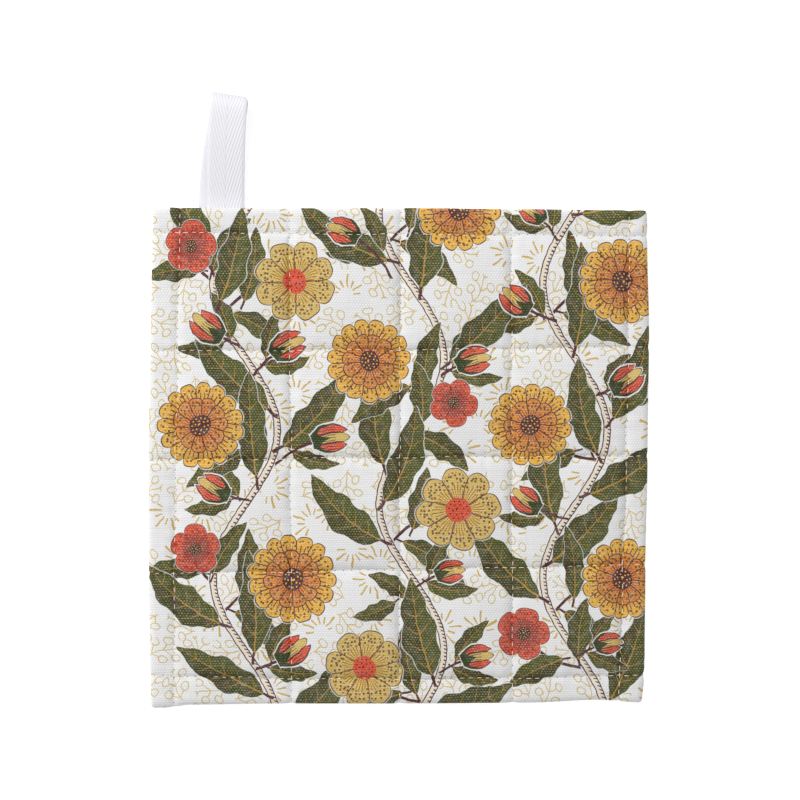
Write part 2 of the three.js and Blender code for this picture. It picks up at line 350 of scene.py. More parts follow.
def stations(lines):
    """Mesh stations from one edge to the other: their cells and their shares of the cell."""
    walls = [-SIDE / 2, *[line["half"] for line in lines], SIDE / 2]
    cells, shares = [0], [0.0]
    last = len(walls) - 2
    for cell in range(last + 1):
        width = walls[cell + 1] - walls[cell]
        low = list(NEAR_EDGE if cell == 0 else NEAR_SEAM)
        high = list(NEAR_EDGE if cell == last else NEAR_SEAM)
        while low[-1] + high[-1] > width - OPEN_STEP / 2:
            longer = max(low, high, key=lambda places: places[-1])
            longer.pop()
        inner = width - low[-1] - high[-1]
        steps = max(1, round(inner / OPEN_STEP))
        places = low[1:] + [low[-1] + inner * k / steps for k in range(1, steps)]
        places += [width - d for d in high[::-1]]
        cells += [cell] * len(places)
        shares += [place / width for place in places]
    return np.array(cells), np.array(shares)


def nominal(line_of, lines):
    """Stations as shares of the whole side, before the lines bend."""
    cells, shares = line_of
    walls = np.array([-SIDE / 2, *[line["half"] for line in lines], SIDE / 2])
    at = walls[cells] + (walls[cells + 1] - walls[cells]) * shares
    return at / SIDE + 0.5


def places_across(line_of, lines, edges, along):
    """Places on each station's line, and the distances to its cell's two walls."""
    cells, shares = line_of
    low_edge = -SIDE / 2 - read_table(EDGE_BOW, "along", edges[0], along)
    high_edge = SIDE / 2 + read_table(EDGE_BOW, "along", edges[1], along)
    walls = np.array([low_edge, *[bend(line, along) for line in lines], high_edge])
    width = walls[cells + 1] - walls[cells]
    from_low = width * shares[:, None]
    return walls[cells] + from_low, from_low, width - from_low


def seam_and_edge(cells, low, high):
    """Distances to the nearest seam and to the edge; a cell inside has no edge."""
    last = len(UPRIGHT_LINES)
    seam = np.where(cells == 0, high, np.where(cells == last, low, np.minimum(low, high)))
    edge = np.where(cells == 0, low, np.where(cells == last, high, SIDE))
    return seam, edge


class Plan:
    """The pad's mesh in plan: places, and distances to the seams and edges beside them."""

    def __init__(self, pad):
        self.columns = stations(UPRIGHT_LINES)
        self.rows = stations(LEVEL_LINES)
        along_x = nominal(self.columns, UPRIGHT_LINES)
        along_y = nominal(self.rows, LEVEL_LINES)
        x_parts = places_across(self.columns, UPRIGHT_LINES, ("left", "right"), along_y)
        y_parts = places_across(self.rows, LEVEL_LINES, ("foot", "top"), along_x)
        self.x, self.x_low, self.x_high = x_parts
        self.y, self.y_low, self.y_high = (part.T for part in y_parts)
        self.seam_x, self.edge_x = seam_and_edge(self.columns[0][:, None], self.x_low, self.x_high)
        self.seam_y, self.edge_y = seam_and_edge(self.rows[0][None, :], self.y_low, self.y_high)
        self.draw_in(pad)
        self.shift = square_shift(self)

    def draw_in(self, pad):
        """Rounds the corners and notches the edge at the quilting lines."""
        reach = pad.corner_round / MM
        a = np.clip(1 - self.edge_x / reach, 0, 1)
        b = np.clip(1 - self.edge_y / reach, 0, 1)
        corner_x = reach * a * (1 - np.sqrt(1 - b * b / 2))
        corner_y = reach * b * (1 - np.sqrt(1 - a * a / 2))
        notch_x = np.exp(-(self.seam_y / NOTCH_HALF) ** 2) * np.clip(1 - self.edge_x / NOTCH_REACH, 0, 1)
        notch_y = np.exp(-(self.seam_x / NOTCH_HALF) ** 2) * np.clip(1 - self.edge_y / NOTCH_REACH, 0, 1)
        side_x, side_y = np.sign(self.x), np.sign(self.y)
        self.x -= side_x * (corner_x + pad.notch / MM * notch_x)
        self.y -= side_y * (corner_y + pad.notch / MM * notch_y)


# Waves of the wadding: how they change from one to the next, and what their sum is divided by
WAVES = 7
WAVE_TURN = 2.4
WAVE_PITCH = 17.0
WAVE_WIDENING = 5.3
WAVE_PHASE = 1.7
WAVE_SUM = 3.2


def slow_waves(x, y, start):
    """A slow unevenness between about -1 and 1, from a few waves that never line up."""
    total = np.zeros_like(x)
    for k in range(WAVES):
        turn = start + WAVE_TURN * k
        pitch = WAVE_PITCH + WAVE_WIDENING * k
        total += np.sin((x * math.cos(turn) + y * math.sin(turn)) * math.tau / pitch + WAVE_PHASE * k)
    return total / WAVE_SUM


# Exponents of the pillows' curves, then sizes of puckers and seams
SHOULDER_CURVE = 2.4
DOME_CURVE = 0.6
PUCKER_REACH = 1.5
PUCKER_PITCH = 6.8
SMALL_PUCKER_PITCH = 4.3
PUCKER_EDGE = 3.0  # from the edge to where puckers have their full height
BACK_PUCKER = 0.3
FOOT_SHOULDER = 7.0
CHANNEL_WAVE = 0.12
SIDE_SEAM_WAVE = 0.15
LIP = 0.25  # from the side seam to where the front and the back cloth start


def shoulder(distance, width):
    """0 at a seam, 1 past the width, and steepest at the seam."""
    return 1 - (1 - np.clip(distance / width, 0, 1)) ** SHOULDER_CURVE


def puckers(plan, pad, tight):
    """Small gathers beside the stitching, highest a little away from each seam."""
    total = np.zeros_like(plan.x)
    for distance, along, phase in ((plan.seam_x, plan.y, 0.0), (plan.seam_y, plan.x, 2.0)):
        wave = np.sin(along * math.tau / PUCKER_PITCH + phase + 2 * tight)
        wave += 0.5 * np.sin(along * math.tau / SMALL_PUCKER_PITCH + 2 * phase)
        share = distance / PUCKER_REACH
        total += wave * share * np.exp(1 - share)
    inside = np.minimum(plan.edge_x, plan.edge_y)
    return total * pad.pucker / MM * np.minimum(1, inside / PUCKER_EDGE)


def dome(low, high, edge):
    """0 at a cell's seams and 1 half way between them; flat in the cells along the edge."""
    inner = np.sin(math.pi * low / (low + high))
    return np.where(edge < SIDE, 0.0, np.clip(inner, 0, 1)) ** DOME_CURVE


def pillow_heights(plan, pad):
    """Heights of the front and back cloth over the surface, in millimetres."""
    width = pad.shoulder_width / MM
    rise = shoulder(plan.seam_x, width) * shoulder(plan.seam_y, width)
    crown = dome(plan.x_low, plan.x_high, plan.edge_x) * dome(plan.y_low, plan.y_high, plan.edge_y)
    uneven = slow_waves(plan.x, plan.y, 0.4) * pad.unevenness / MM
    tight = slow_waves(plan.y, plan.x, 1.9)
    pucker = puckers(plan, pad, tight)
    front = pad.channel_top / MM + rise * (pad.shoulder_rise / MM + uneven) + crown * pad.dome_rise / MM
    front += pucker + CHANNEL_WAVE * tight * (1 - rise)
    flat = shoulder(plan.seam_x, FOOT_SHOULDER) * shoulder(plan.seam_y, FOOT_SHOULDER)
    back = np.maximum(0.0, pad.channel_foot / MM * (1 - flat) + BACK_PUCKER * np.abs(pucker))

    roll = pad.roll_width / MM
    a = np.clip(1 - plan.edge_x / roll, 0, 1)
    b = np.clip(1 - plan.edge_y / roll, 0, 1)
    round_off = np.sqrt((1 - a * a) * (1 - b * b))
    seam = pad.seam_height / MM + SIDE_SEAM_WAVE * tight
    front = seam + LIP + (front - seam - LIP) * round_off
    back = seam - LIP + (back - seam + LIP) * round_off
    return front, back


def stem_at(stem, y):
    """The middle of a stem at a height, and how far it goes sideways for each step up."""
    turn = math.tau * (y - stem["crest"]) / STEM_REPEAT + math.pi / 2
    x = stem["middle"] + STEM_SWAY * np.sin(turn)
    slope = STEM_SWAY * math.tau / STEM_REPEAT * np.cos(turn)
    return x, slope


def bud_places(chance):
    """Buds on side shoots of the stems."""
    places = []
    for row in BUDS:
        x, _ = stem_at(STEMS[row["stem"]], row["y"])
        size = chance.uniform(*BUD_SIZES)
        places.append({
            "x": float(x), "y": row["y"], "heading": math.radians(row["heading"]),
            "stalk": row["stalk"], "length": BUD_LENGTH * size, "width": BUD_WIDTH * size,
            "curl": chance.choice((-BUD_CURL, BUD_CURL)), "chance": chance.random(),
        })
    return places


def bloom_stalk(place):
    """Where a bloom's stalk leaves the nearest stem, and the way from there to the bloom."""
    foot = place["y"] - STALK_DROP
    nearest = min(STEMS, key=lambda stem: abs(stem_at(stem, foot)[0] - place["x"]))
    start = np.array([float(stem_at(nearest, foot)[0]), foot])
    return start, np.array([place["x"], place["y"]]) - start


def leaf(chance, beside, foot, growth, side):
    """A leaf of one sort, which leaves the heading of growth to one side."""
    sort = LEAF_SORTS[beside]
    return {
        "x": foot[0], "y": foot[1], "heading": growth + side * chance.uniform(*sort["turn"]),
        "stalk": sort["stalk"], "length": chance.uniform(*sort["length"]),
        "width": chance.uniform(*sort["width"]), "curl": side * chance.uniform(*sort["curl"]),
        "chance": chance.random(),
    }


def leaf_places(chance, buds):
    """Leaves along the stems, left and right in turn, and more below buds and blooms."""
    places = []
    for bloom in BLOOMS:
        start, way = bloom_stalk(bloom)
        growth = math.atan2(way[1], way[0])
        for side, share in BLOOM_LEAVES:
            places.append(leaf(chance, "bloom", start + way * share, growth, side))
    for bud in buds:
        growth = bud["heading"]
        for side, share in BUD_LEAVES:
            ahead = bud["stalk"] * share
            foot = (bud["x"] + ahead * math.cos(growth), bud["y"] + ahead * math.sin(growth))
            places.append(leaf(chance, "bud", foot, growth, side))
    for number, stem in enumerate(STEMS):
        for k in range(LEAVES_OF_STEM):
            y = LEAF_START + LEAF_PITCH * k + LEAF_SHIFT * number
            x, slope = stem_at(stem, y)
            growth = math.atan2(1.0, slope)
            places.append(leaf(chance, "stem", (float(x), y), growth, 1 if k % 2 else -1))
    return places


def curved_coordinates(place, x, y):
    """Shares along and across a curved leaf or bud whose foot stands on a stalk."""
    c, s = math.cos(place["heading"]), math.sin(place["heading"])
    ahead = (x - place["x"]) * c + (y - place["y"]) * s - place["stalk"]
    aside = -(x - place["x"]) * s + (y - place["y"]) * c
    bow = place["length"] / place["curl"]
    turn = math.copysign(1.0, bow)
    along = abs(bow) * np.arctan2(ahead, (bow - aside) * turn)
    across = bow - turn * np.hypot(ahead, bow - aside)
    return along / place["length"], across / (place["width"] / 2)


PRINT_SEED = 5
OFF_LEAF = (-9.0, 9.0, 0.0)  # what the attributes hold away from every motif
OFF_BLOOM = (9.0, 9.0, 0.0)
LEAF_ROOM = SimpleNamespace(foot=0.03, tip=1.06, side=1.2)  # how far from its shape a leaf is kept
BLOOM_ROOM = 1.1
BLOOM_TURNS = 0.9  # past the whole number of its kind, a bloom's number says how it is turned
STALK_BOW = 0.12
SPRIGS_OUT_TO = 110.0
SPRIG_SHIFT = 2.0
FACES_AT_ONCE = 4000


class PrintedFaces:
    """The front cloth's faces, and motif coordinates for each of their corners."""

    def __init__(self, plan, faces):
        self.x, self.y = plan.x.ravel(), plan.y.ravel()
        self.faces = faces
        self.corners = faces.ravel()
        self.size = faces.shape[1]

    def blank(self, outside):
        return np.tile(np.array(outside), (len(self.corners), 1))

    def write(self, layer, touched, *columns):
        """Writes a motif's coordinates at the corners of the faces that it touches."""
        here = np.repeat(touched, self.size)
        spots = self.corners[here]
        layer[here] = np.stack([np.broadcast_to(column, self.x.shape)[spots] for column in columns], axis=1)

    def leaves_and_buds(self, chance):
        """Each motif goes on the first layer that is free under it."""
        buds = bud_places(chance)
        layers = {name: self.blank(OFF_LEAF) for name in (*LEAF_LAYERS, "bud")}
        taken = {name: np.zeros(len(self.faces), bool) for name in layers}
        motifs = [(place, LEAF_LAYERS) for place in leaf_places(chance, buds)]
        motifs += [(place, ("bud",)) for place in buds]
        for place, names in motifs:
            along, across = curved_coordinates(place, self.x, self.y)
            foot = -place["stalk"] / place["length"] - LEAF_ROOM.foot
            inside = (along > foot) & (along < LEAF_ROOM.tip) & (np.abs(across) < LEAF_ROOM.side)
            touched = inside[self.faces].any(axis=1)
            free = [name for name in names if not (taken[name] & touched).any()]
            if free and touched.any():
                taken[free[0]] |= touched
                self.write(layers[free[0]], touched, along, across, place["chance"])
        return layers

    def blooms(self, chance):
        layer = self.blank(OFF_BLOOM)
        for place in BLOOMS:
            dx = (self.x - place["x"]) / place["radius"]
            dy = (self.y - place["y"]) / place["radius"]
            touched = (np.hypot(dx, dy) < BLOOM_ROOM)[self.faces].any(axis=1)
            kind = BLOOM_KINDS.index(place["kind"]) + BLOOM_TURNS * chance.random()
            self.write(layer, touched, dx, dy, kind)
        return layer

    def nearest_of(self, rows):
        """For each face the row of coordinates that passes nearest, read at its corners."""
        by_face = np.array([np.abs(apart[self.faces]).min(axis=1) + past[self.faces].min(axis=1)
                            for apart, _, past in rows])
        choice = np.repeat(by_face.argmin(axis=0), self.size)
        apart, along = (np.array([row[k] for row in rows])[choice, self.corners] for k in range(2))
        return np.stack([apart, along, np.zeros(len(self.corners))], axis=1)

    def stalks(self):
        """Distance aside from the nearest bloom's stalk, and the share of its way."""
        rows = []
        for place in BLOOMS:
            start, way = bloom_stalk(place)
            reach = math.hypot(*way)
            share = ((self.x - start[0]) * way[0] + (self.y - start[1]) * way[1]) / reach**2
            apart = ((self.y - start[1]) * way[0] - (self.x - start[0]) * way[1]) / reach
            apart = apart - STALK_BOW * reach * np.sin(math.pi * np.clip(share, 0, 1))
            rows.append((apart, share, reach * np.maximum(0, np.maximum(-share, share - 1))))
        return self.nearest_of(rows)

    def stems(self):
        """Distance aside from the nearest stem, and how far up the cloth."""
        rows = []
        for stem in STEMS:
            middle, slope = stem_at(stem, self.y)
            rows.append(((self.x - middle) / np.hypot(1, slope), self.y, np.zeros(len(self.x))))
        return self.nearest_of(rows)

    def sprigs(self, chance):
        """Places on the nearest sprig, in its own heading."""
        reach = int(SPRIGS_OUT_TO / SPRIG_PITCH) + 1
        steps = range(-reach, reach + 1)
        sprigs = np.array([(
            SPRIG_PITCH * (column + 0.5 * (row % 2)) + chance.uniform(-SPRIG_SHIFT, SPRIG_SHIFT),
            SPRIG_PITCH * row + chance.uniform(-SPRIG_SHIFT, SPRIG_SHIFT),
            chance.uniform(0, math.tau), chance.random(),
        ) for row in steps for column in steps])
        middle = np.stack([places[self.faces].mean(axis=1) for places in (self.x, self.y)], axis=1)
        nearest = np.empty(len(self.faces), int)
        for start in range(0, len(self.faces), FACES_AT_ONCE):
            part = slice(start, start + FACES_AT_ONCE)
            way = middle[part, None, :] - sprigs[None, :, :2]
            nearest[part] = (way[..., 0] ** 2 + way[..., 1] ** 2).argmin(axis=1)
        own = sprigs[np.repeat(nearest, self.size)]
        dx, dy = self.x[self.corners] - own[:, 0], self.y[self.corners] - own[:, 1]
        c, s = np.cos(own[:, 2]), np.sin(own[:, 2])
        return np.stack([dx * c + dy * s, dy * c - dx * s, own[:, 3]], axis=1)


def print_attributes(plan, faces):
    """Motif coordinates for each face corner, by the name of the attribute that holds them."""
    chance = random.Random(PRINT_SEED)
    printed = PrintedFaces(plan, faces)
    layers = printed.leaves_and_buds(chance)
    layers["bloom"] = printed.blooms(chance)
    layers["stalk"] = printed.stalks()
    layers["stem"] = printed.stems()
    layers["sprig"] = printed.sprigs(chance)
    return layers


# Node trees written as formulas


class Formula:
    """A number that a node tree works out, written with the usual signs of arithmetic."""

    def __init__(self, tree, source):
        self.tree = tree
        self.source = source

    def joined(self, operation, *others):
        values = dict(enumerate((self, *others)))
        node = add_node(self.tree, "ShaderNodeMath", values, operation=operation)
        return Formula(self.tree, node.outputs[0])

    def __add__(self, other):
        return self.joined("ADD", other)

    def __sub__(self, other):
        return self.joined("SUBTRACT", other)

    def __rsub__(self, other):
        return Formula(self.tree, other).joined("SUBTRACT", self)

    def __mul__(self, other):
        return self.joined("MULTIPLY", other)

    def __truediv__(self, other):
        return self.joined("DIVIDE", other)

    __radd__ = __add__
    __rmul__ = __mul__

    def __abs__(self):
        return self.joined("ABSOLUTE")

    def power(self, other):
        return self.joined("POWER", other)

    def sin(self):
        return self.joined("SINE")

    def cos(self):
        return self.joined("COSINE")

    def fraction(self):
        return self.joined("FRACT")

    def floor(self):
        return self.joined("FLOOR")

    def smaller(self, other):
        return self.joined("MINIMUM", other)

    def larger(self, other):
        return self.joined("MAXIMUM", other)

    def angle_from(self, other):
        return self.joined("ARCTAN2", other)

    def above(self, edge, soft):
        """0 below the edge and 1 above it, with a soft step."""
        values = {"Value": self, "From Min": edge - soft, "From Max": edge + soft}
        node = add_node(self.tree, "ShaderNodeMapRange", values, interpolation_type="SMOOTHSTEP")
        return Formula(self.tree, node.outputs["Result"])

    def below(self, edge, soft):
        return 1 - self.above(edge, soft)

    def within(self, limit, soft):
        """1 below a limit, which may be a formula too, and 0 above it."""
        return (limit - self).above(0.0, soft)

    def stripe(self, half, soft):
        """1 near every whole number, half wide to each side."""
        return (0.5 - abs(self.fraction() - 0.5)).below(half, soft)


def plug(tree, value, socket):
    """Sets a socket to a value, or links it to a formula or another socket."""
    source = value.source if isinstance(value, Formula) else value
    if isinstance(source, bpy.types.NodeSocket):
        tree.links.new(source, socket)
    else:
        socket.default_value = source


def add_node(tree, kind, values=None, **settings):
    """A new node, with its settings and the values of its inputs, by their name or number."""
    node = tree.nodes.new(kind)
    for name, setting in settings.items():
        setattr(node, name, setting)
    for key, value in (values or {}).items():
        plug(tree, value, node.inputs[key])
    return node


MIX = SimpleNamespace(mask=0, under=6, over=7, result=2)  # sockets of a mix node, for colours


class Painter:
    """A colour in a node tree, with inks laid over it one by one."""

    def __init__(self, tree, ink):
        self.tree = tree
        self.colour = (*ink, 1.0)

    def lay(self, ink, mask):
        values = {MIX.mask: mask, MIX.under: self.colour, MIX.over: (*ink, 1.0)}
        node = add_node(self.tree, "ShaderNodeMix", values, data_type="RGBA")
        self.colour = node.outputs[MIX.result]


def parts_of(tree, vector, count):
    """The first numbers of a vector."""
    split = add_node(tree, "ShaderNodeSeparateXYZ", {0: vector})
    return [Formula(tree, split.outputs[k]) for k in range(count)]


def attribute(tree, name):
    """The three numbers that a mesh attribute holds."""
    return parts_of(tree, add_node(tree, "ShaderNodeAttribute", attribute_name=name).outputs["Vector"], 3)


def place_on_object(tree):
    """Millimetres along X, Y and Z of the piece, as a vector."""
    where = add_node(tree, "ShaderNodeTexCoord").outputs["Object"]
    return add_node(tree, "ShaderNodeVectorMath", {0: where, "Scale": 1 / MM}, operation="SCALE").outputs[0]


def noise_node(tree, vector, scale, detail):
    return add_node(tree, "ShaderNodeTexNoise", {"Vector": vector, "Scale": scale, "Detail": detail})


def noise(tree, vector, scale, detail):
    """Cloudy unevenness around 0.5."""
    return Formula(tree, noise_node(tree, vector, scale, detail).outputs["Fac"])


def stretched_noise(tree, vector, scale_x, scale_y, detail):
    """Unevenness of another scale along X than along Y."""
    scaled = add_node(tree, "ShaderNodeMapping", {"Vector": vector, "Scale": (scale_x, scale_y, 1.0)})
    return noise(tree, scaled.outputs[0], 1.0, detail)


def hand_drift(tree, vector, scale):
    """Drifts along X and Y, from about -1 to 1, that make printed lines look drawn by hand."""
    colour = noise_node(tree, vector, scale, 1.0).outputs["Color"]
    return [part * 4 - 2 for part in parts_of(tree, colour, 2)]


def drawn_by_hand(tree, name, drift, amounts):
    """A motif's three numbers, with a drift added to the first two."""
    parts = attribute(tree, name)
    first, second = (part + way * amount for part, way, amount in zip(parts, drift, amounts))
    return first, second, parts[2]


def speckle(tree, vector, scale):
    """Distance to the nearest of many scattered points, as a share of their spacing."""
    values = {"Vector": vector, "Scale": scale, "Randomness": 0.7}
    cells = add_node(tree, "ShaderNodeTexVoronoi", values, voronoi_dimensions="2D")
    return Formula(tree, cells.outputs["Distance"])


def new_material(name, roughness, sheen):
    """A material with a shader whose even values are set on its own sockets."""
    material = bpy.data.materials.new(name)
    material.use_nodes = True
    tree = material.node_tree
    shader = tree.nodes["Principled BSDF"]
    for socket, value in (("Roughness", roughness), ("Specular IOR Level", 0.2),
                          ("Sheen Weight", sheen), ("Sheen Roughness", 0.5)):
        shader.inputs[socket].default_value = value
    return material, tree, shader


def finish_surface(tree, shader, painter, height, depth):
    """Gives the shader its painted colour and its fine relief."""
    plug(tree, painter.colour, shader.inputs["Base Color"])
    bump = add_node(tree, "ShaderNodeBump", {"Height": height, "Distance": depth})
    plug(tree, bump.outputs["Normal"], shader.inputs["Normal"])


# The drawing functions below name their sizes: of sprigs and stems in millimetres, of a leaf and a
# bud as shares of its length and half its width, and of a bloom as shares of its radius. The last
# number of above, below, within and stripe is how soft the printed edge is
SPRIG = SimpleNamespace(
    drift=(0.35, 0.35), sway=1.3, sway_turn=0.3, sway_phase=6, line=0.22, stalk_short=0.8,
    pitch=5.2, twig_slope=1.08, twig_line=0.32, twig_reach=2.55,
    berry_ahead=3.5, berry_aside=3.8, berry=1.55, berries_short=1.8,
    fans=0.38, fan_foot=4.0, fan_half=1.7, rays=2.1,
    dash=0.16, dash_widening=0.035, dash_start=3.0, dash_end=8.2, dash_shorter=2.2,
)


def draw_sprigs(painter, inks, tree, drift):
    """Fine stalks whose side stalks end in open berries, and fans of long and short dashes."""
    ahead, aside, chance = drawn_by_hand(tree, "sprig", drift, SPRIG.drift)
    bow = aside - (ahead * SPRIG.sway_turn + chance * SPRIG.sway_phase).sin() * SPRIG.sway
    inside = abs(ahead).below(SPRIG_REACH - SPRIG.stalk_short, 0.1)
    stalk = abs(bow).below(SPRIG.line, 0.1) * inside
    step = (ahead / SPRIG.pitch).fraction() * SPRIG.pitch
    side = abs(bow)
    twig = abs(side - step * SPRIG.twig_slope).below(SPRIG.twig_line, 0.13)
    twig = twig * side.below(SPRIG.twig_reach, 0.15) * inside
    berry = ((step - SPRIG.berry_ahead).power(2) + (side - SPRIG.berry_aside).power(2)).power(0.5)
    ring = abs(berry - SPRIG.berry).below(SPRIG.line, 0.1)
    ring = ring * abs(ahead).below(SPRIG_REACH - SPRIG.berries_short, 0.1)
    with_berries = chance.above(SPRIG.fans, 0.001)
    painter.lay(inks.pale_gold, stalk.larger(twig).larger(ring) * with_berries)
    low = ahead + SPRIG.fan_foot
    reach = (low * low + aside * aside).power(0.5)
    turn = aside.angle_from(low)
    place = turn * SPRIG.rays + 0.5
    ray = abs(place.fraction() - 0.5) * reach / SPRIG.rays
    shorter = (place.floor() * 0.5).fraction() * 2
    outer_end = SPRIG.dash_end - shorter * SPRIG.dash_shorter
    span = reach.within(outer_end, 0.2) * reach.above(SPRIG.dash_start, 0.2)
    dash = (ray - SPRIG.dash - reach * SPRIG.dash_widening).below(0.0, 0.09) * span
    dash = dash * abs(turn).below(SPRIG.fan_half, 0.05)
    painter.lay(inks.gold, dash * (1 - with_berries))


STEM = SimpleNamespace(
    drift=0.22, halo=1.9, outline=1.5, bark=1.05,
    hatch_pitch=1.5, hatch_lean=0.25, hatch=0.19, hatch_reach=1.3,
    stalk=0.62, stalk_drift=0.15,
)


def draw_stems(painter, inks, tree, drift):
    """Stalks of the blooms, then pale stems with dark outlines and a hatched side."""
    stem, climb, _ = attribute(tree, "stem")
    stalk, share, _ = attribute(tree, "stalk")
    stem = stem + drift[0] * STEM.drift
    stalk = stalk + drift[1] * STEM.stalk_drift
    on_stalk = abs(stalk).below(STEM.stalk, 0.08) * share.above(0.0, 0.01) * share.below(1.0, 0.01)
    painter.lay(inks.maroon, on_stalk)
    painter.lay(inks.ground, abs(stem).below(STEM.halo, 0.1))
    painter.lay(inks.maroon, abs(stem).below(STEM.outline, 0.08))
    painter.lay(inks.bark, abs(stem).below(STEM.bark, 0.08))
    hatch = climb / STEM.hatch_pitch + stem * STEM.hatch_lean + drift[1] * 0.12
    hatch = hatch.stripe(STEM.hatch, 0.05) * stem.above(0.1, 0.1)
    painter.lay(inks.maroon, hatch * abs(stem).below(STEM.hatch_reach, 0.08))


BUD = SimpleNamespace(
    drift=(0.02, 0.05), stalk=0.1, stalk_ends=(-8.0, 0.06), cup=0.92, cup_turn=2.55, cup_start=0.34,
    tip=0.8, tip_wave=0.18, tip_turn=4.6, middle_petal=0.33, petal_line=0.045,
    lines=5.2, line=0.13, lines_to=0.62, sepal=0.5, sepal_wave=0.34, sepal_turn=3.4,
)
BUD_RIM = (0.09, 0.035, 0.03)  # margins sideways, ahead and back
BUD_HALO = (0.2, 0.075, 0.05)


def draw_buds(painter, inks, tree, drift, ink):
    """Cup-shaped buds seen from the side, on long stalks, with pointed green sepals."""
    along, across, _ = drawn_by_hand(tree, "bud", drift, BUD.drift)
    side = abs(across)
    stalk_foot, stalk_tip = BUD.stalk_ends
    stalk = side.below(BUD.stalk, 0.02) * along.above(stalk_foot, 0.01) * along.below(stalk_tip, 0.01)
    grown = along.larger(0.0).smaller(1.0)
    half = (grown * BUD.cup_turn + BUD.cup_start).sin().larger(0.0).power(0.75) * BUD.cup
    tip = BUD.tip + BUD.tip_wave * abs((across * BUD.tip_turn).cos())

    def grown_by(sideways, ahead, back):
        """The bud's shape with a margin round it."""
        shape = side.within(half + sideways, 0.03) * along.within(tip + ahead, 0.015)
        return shape * along.above(-back, 0.01)

    inside = grown_by(0.0, 0.0, 0.0)
    rim = grown_by(*BUD_RIM)
    halo = grown_by(*BUD_HALO)
    painter.lay(inks.maroon, stalk)
    painter.lay(inks.ground, halo)
    painter.lay(inks.maroon, rim)
    painter.lay(inks.coral, inside)
    painter.lay(inks.mustard, inside * side.below(BUD.middle_petal, 0.03))
    painter.lay(inks.bark, ink.thin * inside * 0.2)
    petals = abs(side - BUD.middle_petal).below(BUD.petal_line, 0.02)
    lines = (across * BUD.lines).stripe(BUD.line, 0.05) * along.below(BUD.lines_to, 0.02)
    painter.lay(inks.maroon, petals.larger(lines) * inside)
    sepal = along.within(BUD.sepal - BUD.sepal_wave * abs((across * BUD.sepal_turn).sin()), 0.02)
    painter.lay(inks.leaf_shade, sepal * rim)


LEAF = SimpleNamespace(
    drift=(0.008, 0.04), waves=19, wave_phase=6.3, wave_lean=1.4, wave=0.12,
    foot_curve=0.85, tip_curve=0.8, taper=0.25,
    ends=(0.004, 0.994), stalk=0.085, stalk_ends=(-0.12, 0.03), halo=0.055,
    patches=0.57, veins=6.0, vein=0.03, vein_curve=0.1, vein_reach=0.84,
    hatches=27, hatch_lean=0.13, hatch=0.1, hatch_from=0.34, hatch_to=0.6, rib=0.042, narrowing=1.15,
)


def draw_leaf(painter, inks, tree, layer, drift, ink):
    """A long leaf with a waved edge, one half in shade, thin veins and stippled ink."""
    along, across, chance = drawn_by_hand(tree, layer, drift, LEAF.drift)
    side = abs(across)
    grown = along.larger(0.0).smaller(1.0)
    turn = along * LEAF.waves + chance * LEAF.wave_phase + across * LEAF.wave_lean
    wave = turn.sin() * LEAF.wave + 1
    half = (grown.power(LEAF.foot_curve) * math.pi).sin().larger(0.0).power(LEAF.tip_curve)
    half = half * (1 - grown * LEAF.taper) * wave
    foot, tip = LEAF.ends
    stalk_foot, stalk_tip = LEAF.stalk_ends
    inside = side.within(half, 0.015) * along.above(foot, 0.002) * along.below(tip, 0.002)
    stalk = side.below(LEAF.stalk, 0.015) * along.above(stalk_foot, 0.004) * along.below(stalk_tip, 0.004)
    lengthwise = along.above(foot, 0.002) * along.below(tip, 0.002)
    painter.lay(inks.ground, side.within(half + LEAF.halo, 0.02) * lengthwise * 0.6)
    painter.lay(inks.maroon, stalk)
    painter.lay(inks.leaf, inside)
    painter.lay(inks.leaf_shade, inside * across.above(0.0, 0.02))
    patch = (ink.mottle + across * 0.06).above(LEAF.patches, 0.06)
    painter.lay(inks.maroon, patch * (ink.soaked * 0.5 + 0.2) * inside)
    painter.lay(inks.maroon, ink.soaked * inside * 0.14)
    # painted shade beside the quilting lines: darker leaf ink in the sewn channels
    painter.lay(inks.maroon, ink.tight * inside * 0.16)
    painter.lay(inks.straw, ink.thin * inside * 0.26)
    curve = side * LEAF.vein_curve + side * side * LEAF.vein_curve
    vein = abs(((along - curve) * LEAF.veins + chance).fraction() - 0.5)
    vein = (vein - LEAF.vein * (LEAF.narrowing - side)).below(0.0, 0.012)
    vein = vein * side.within(half * LEAF.vein_reach, 0.02)
    hatch = ((along - side * LEAF.hatch_lean) * LEAF.hatches).stripe(LEAF.hatch, 0.05)
    hatch = hatch * side.within(half * LEAF.hatch_to, 0.03)
    hatch = hatch * (side - half * LEAF.hatch_from).above(0.0, 0.03)
    rib = (side - LEAF.rib * (LEAF.narrowing - along)).below(0.0, 0.015)
    painter.lay(inks.vein, hatch * inside * 0.22)
    painter.lay(inks.vein, vein * inside * 0.85)
    painter.lay(inks.vein, rib * inside)


# Rings of petals, as shares of a bloom's radius
PETAL_RINGS = table(
    "kind petals foot tip dip ink shade lines lines_to dots",
    (0, 15, 0.3, 1.0, 0.13, "ochre", "amber", 3, 0.84, 0.9),
    (0, 11, 0.14, 0.64, 0.12, "amber", "coral", 3, 0.42, 0.8),
    (1, 8, 0.16, 1.0, 0.2, "mustard", "ochre", 6, 0.66, 0.85),
    (2, 5, 0.12, 1.0, 0.24, "coral", "maroon", 7, 0.66, 0.6),
)
HEARTS = table(
    "kind radius ink seeds",
    (0, 0.26, "maroon", "ochre"),
    (1, 0.3, "coral", "maroon"),
    (2, 0.26, "maroon", "mustard"),
)
BLOOM = SimpleNamespace(
    drift=(0.035, 0.035), outline=0.026, shade_short=0.08, side_lines_short=0.5, line=0.11,
    dot=0.3, dots_past_lines=0.03, dots_short=0.1,
    seed_rings=3.4, seeds_of_ring=6, seed_width=1.4, seed=0.06,
)


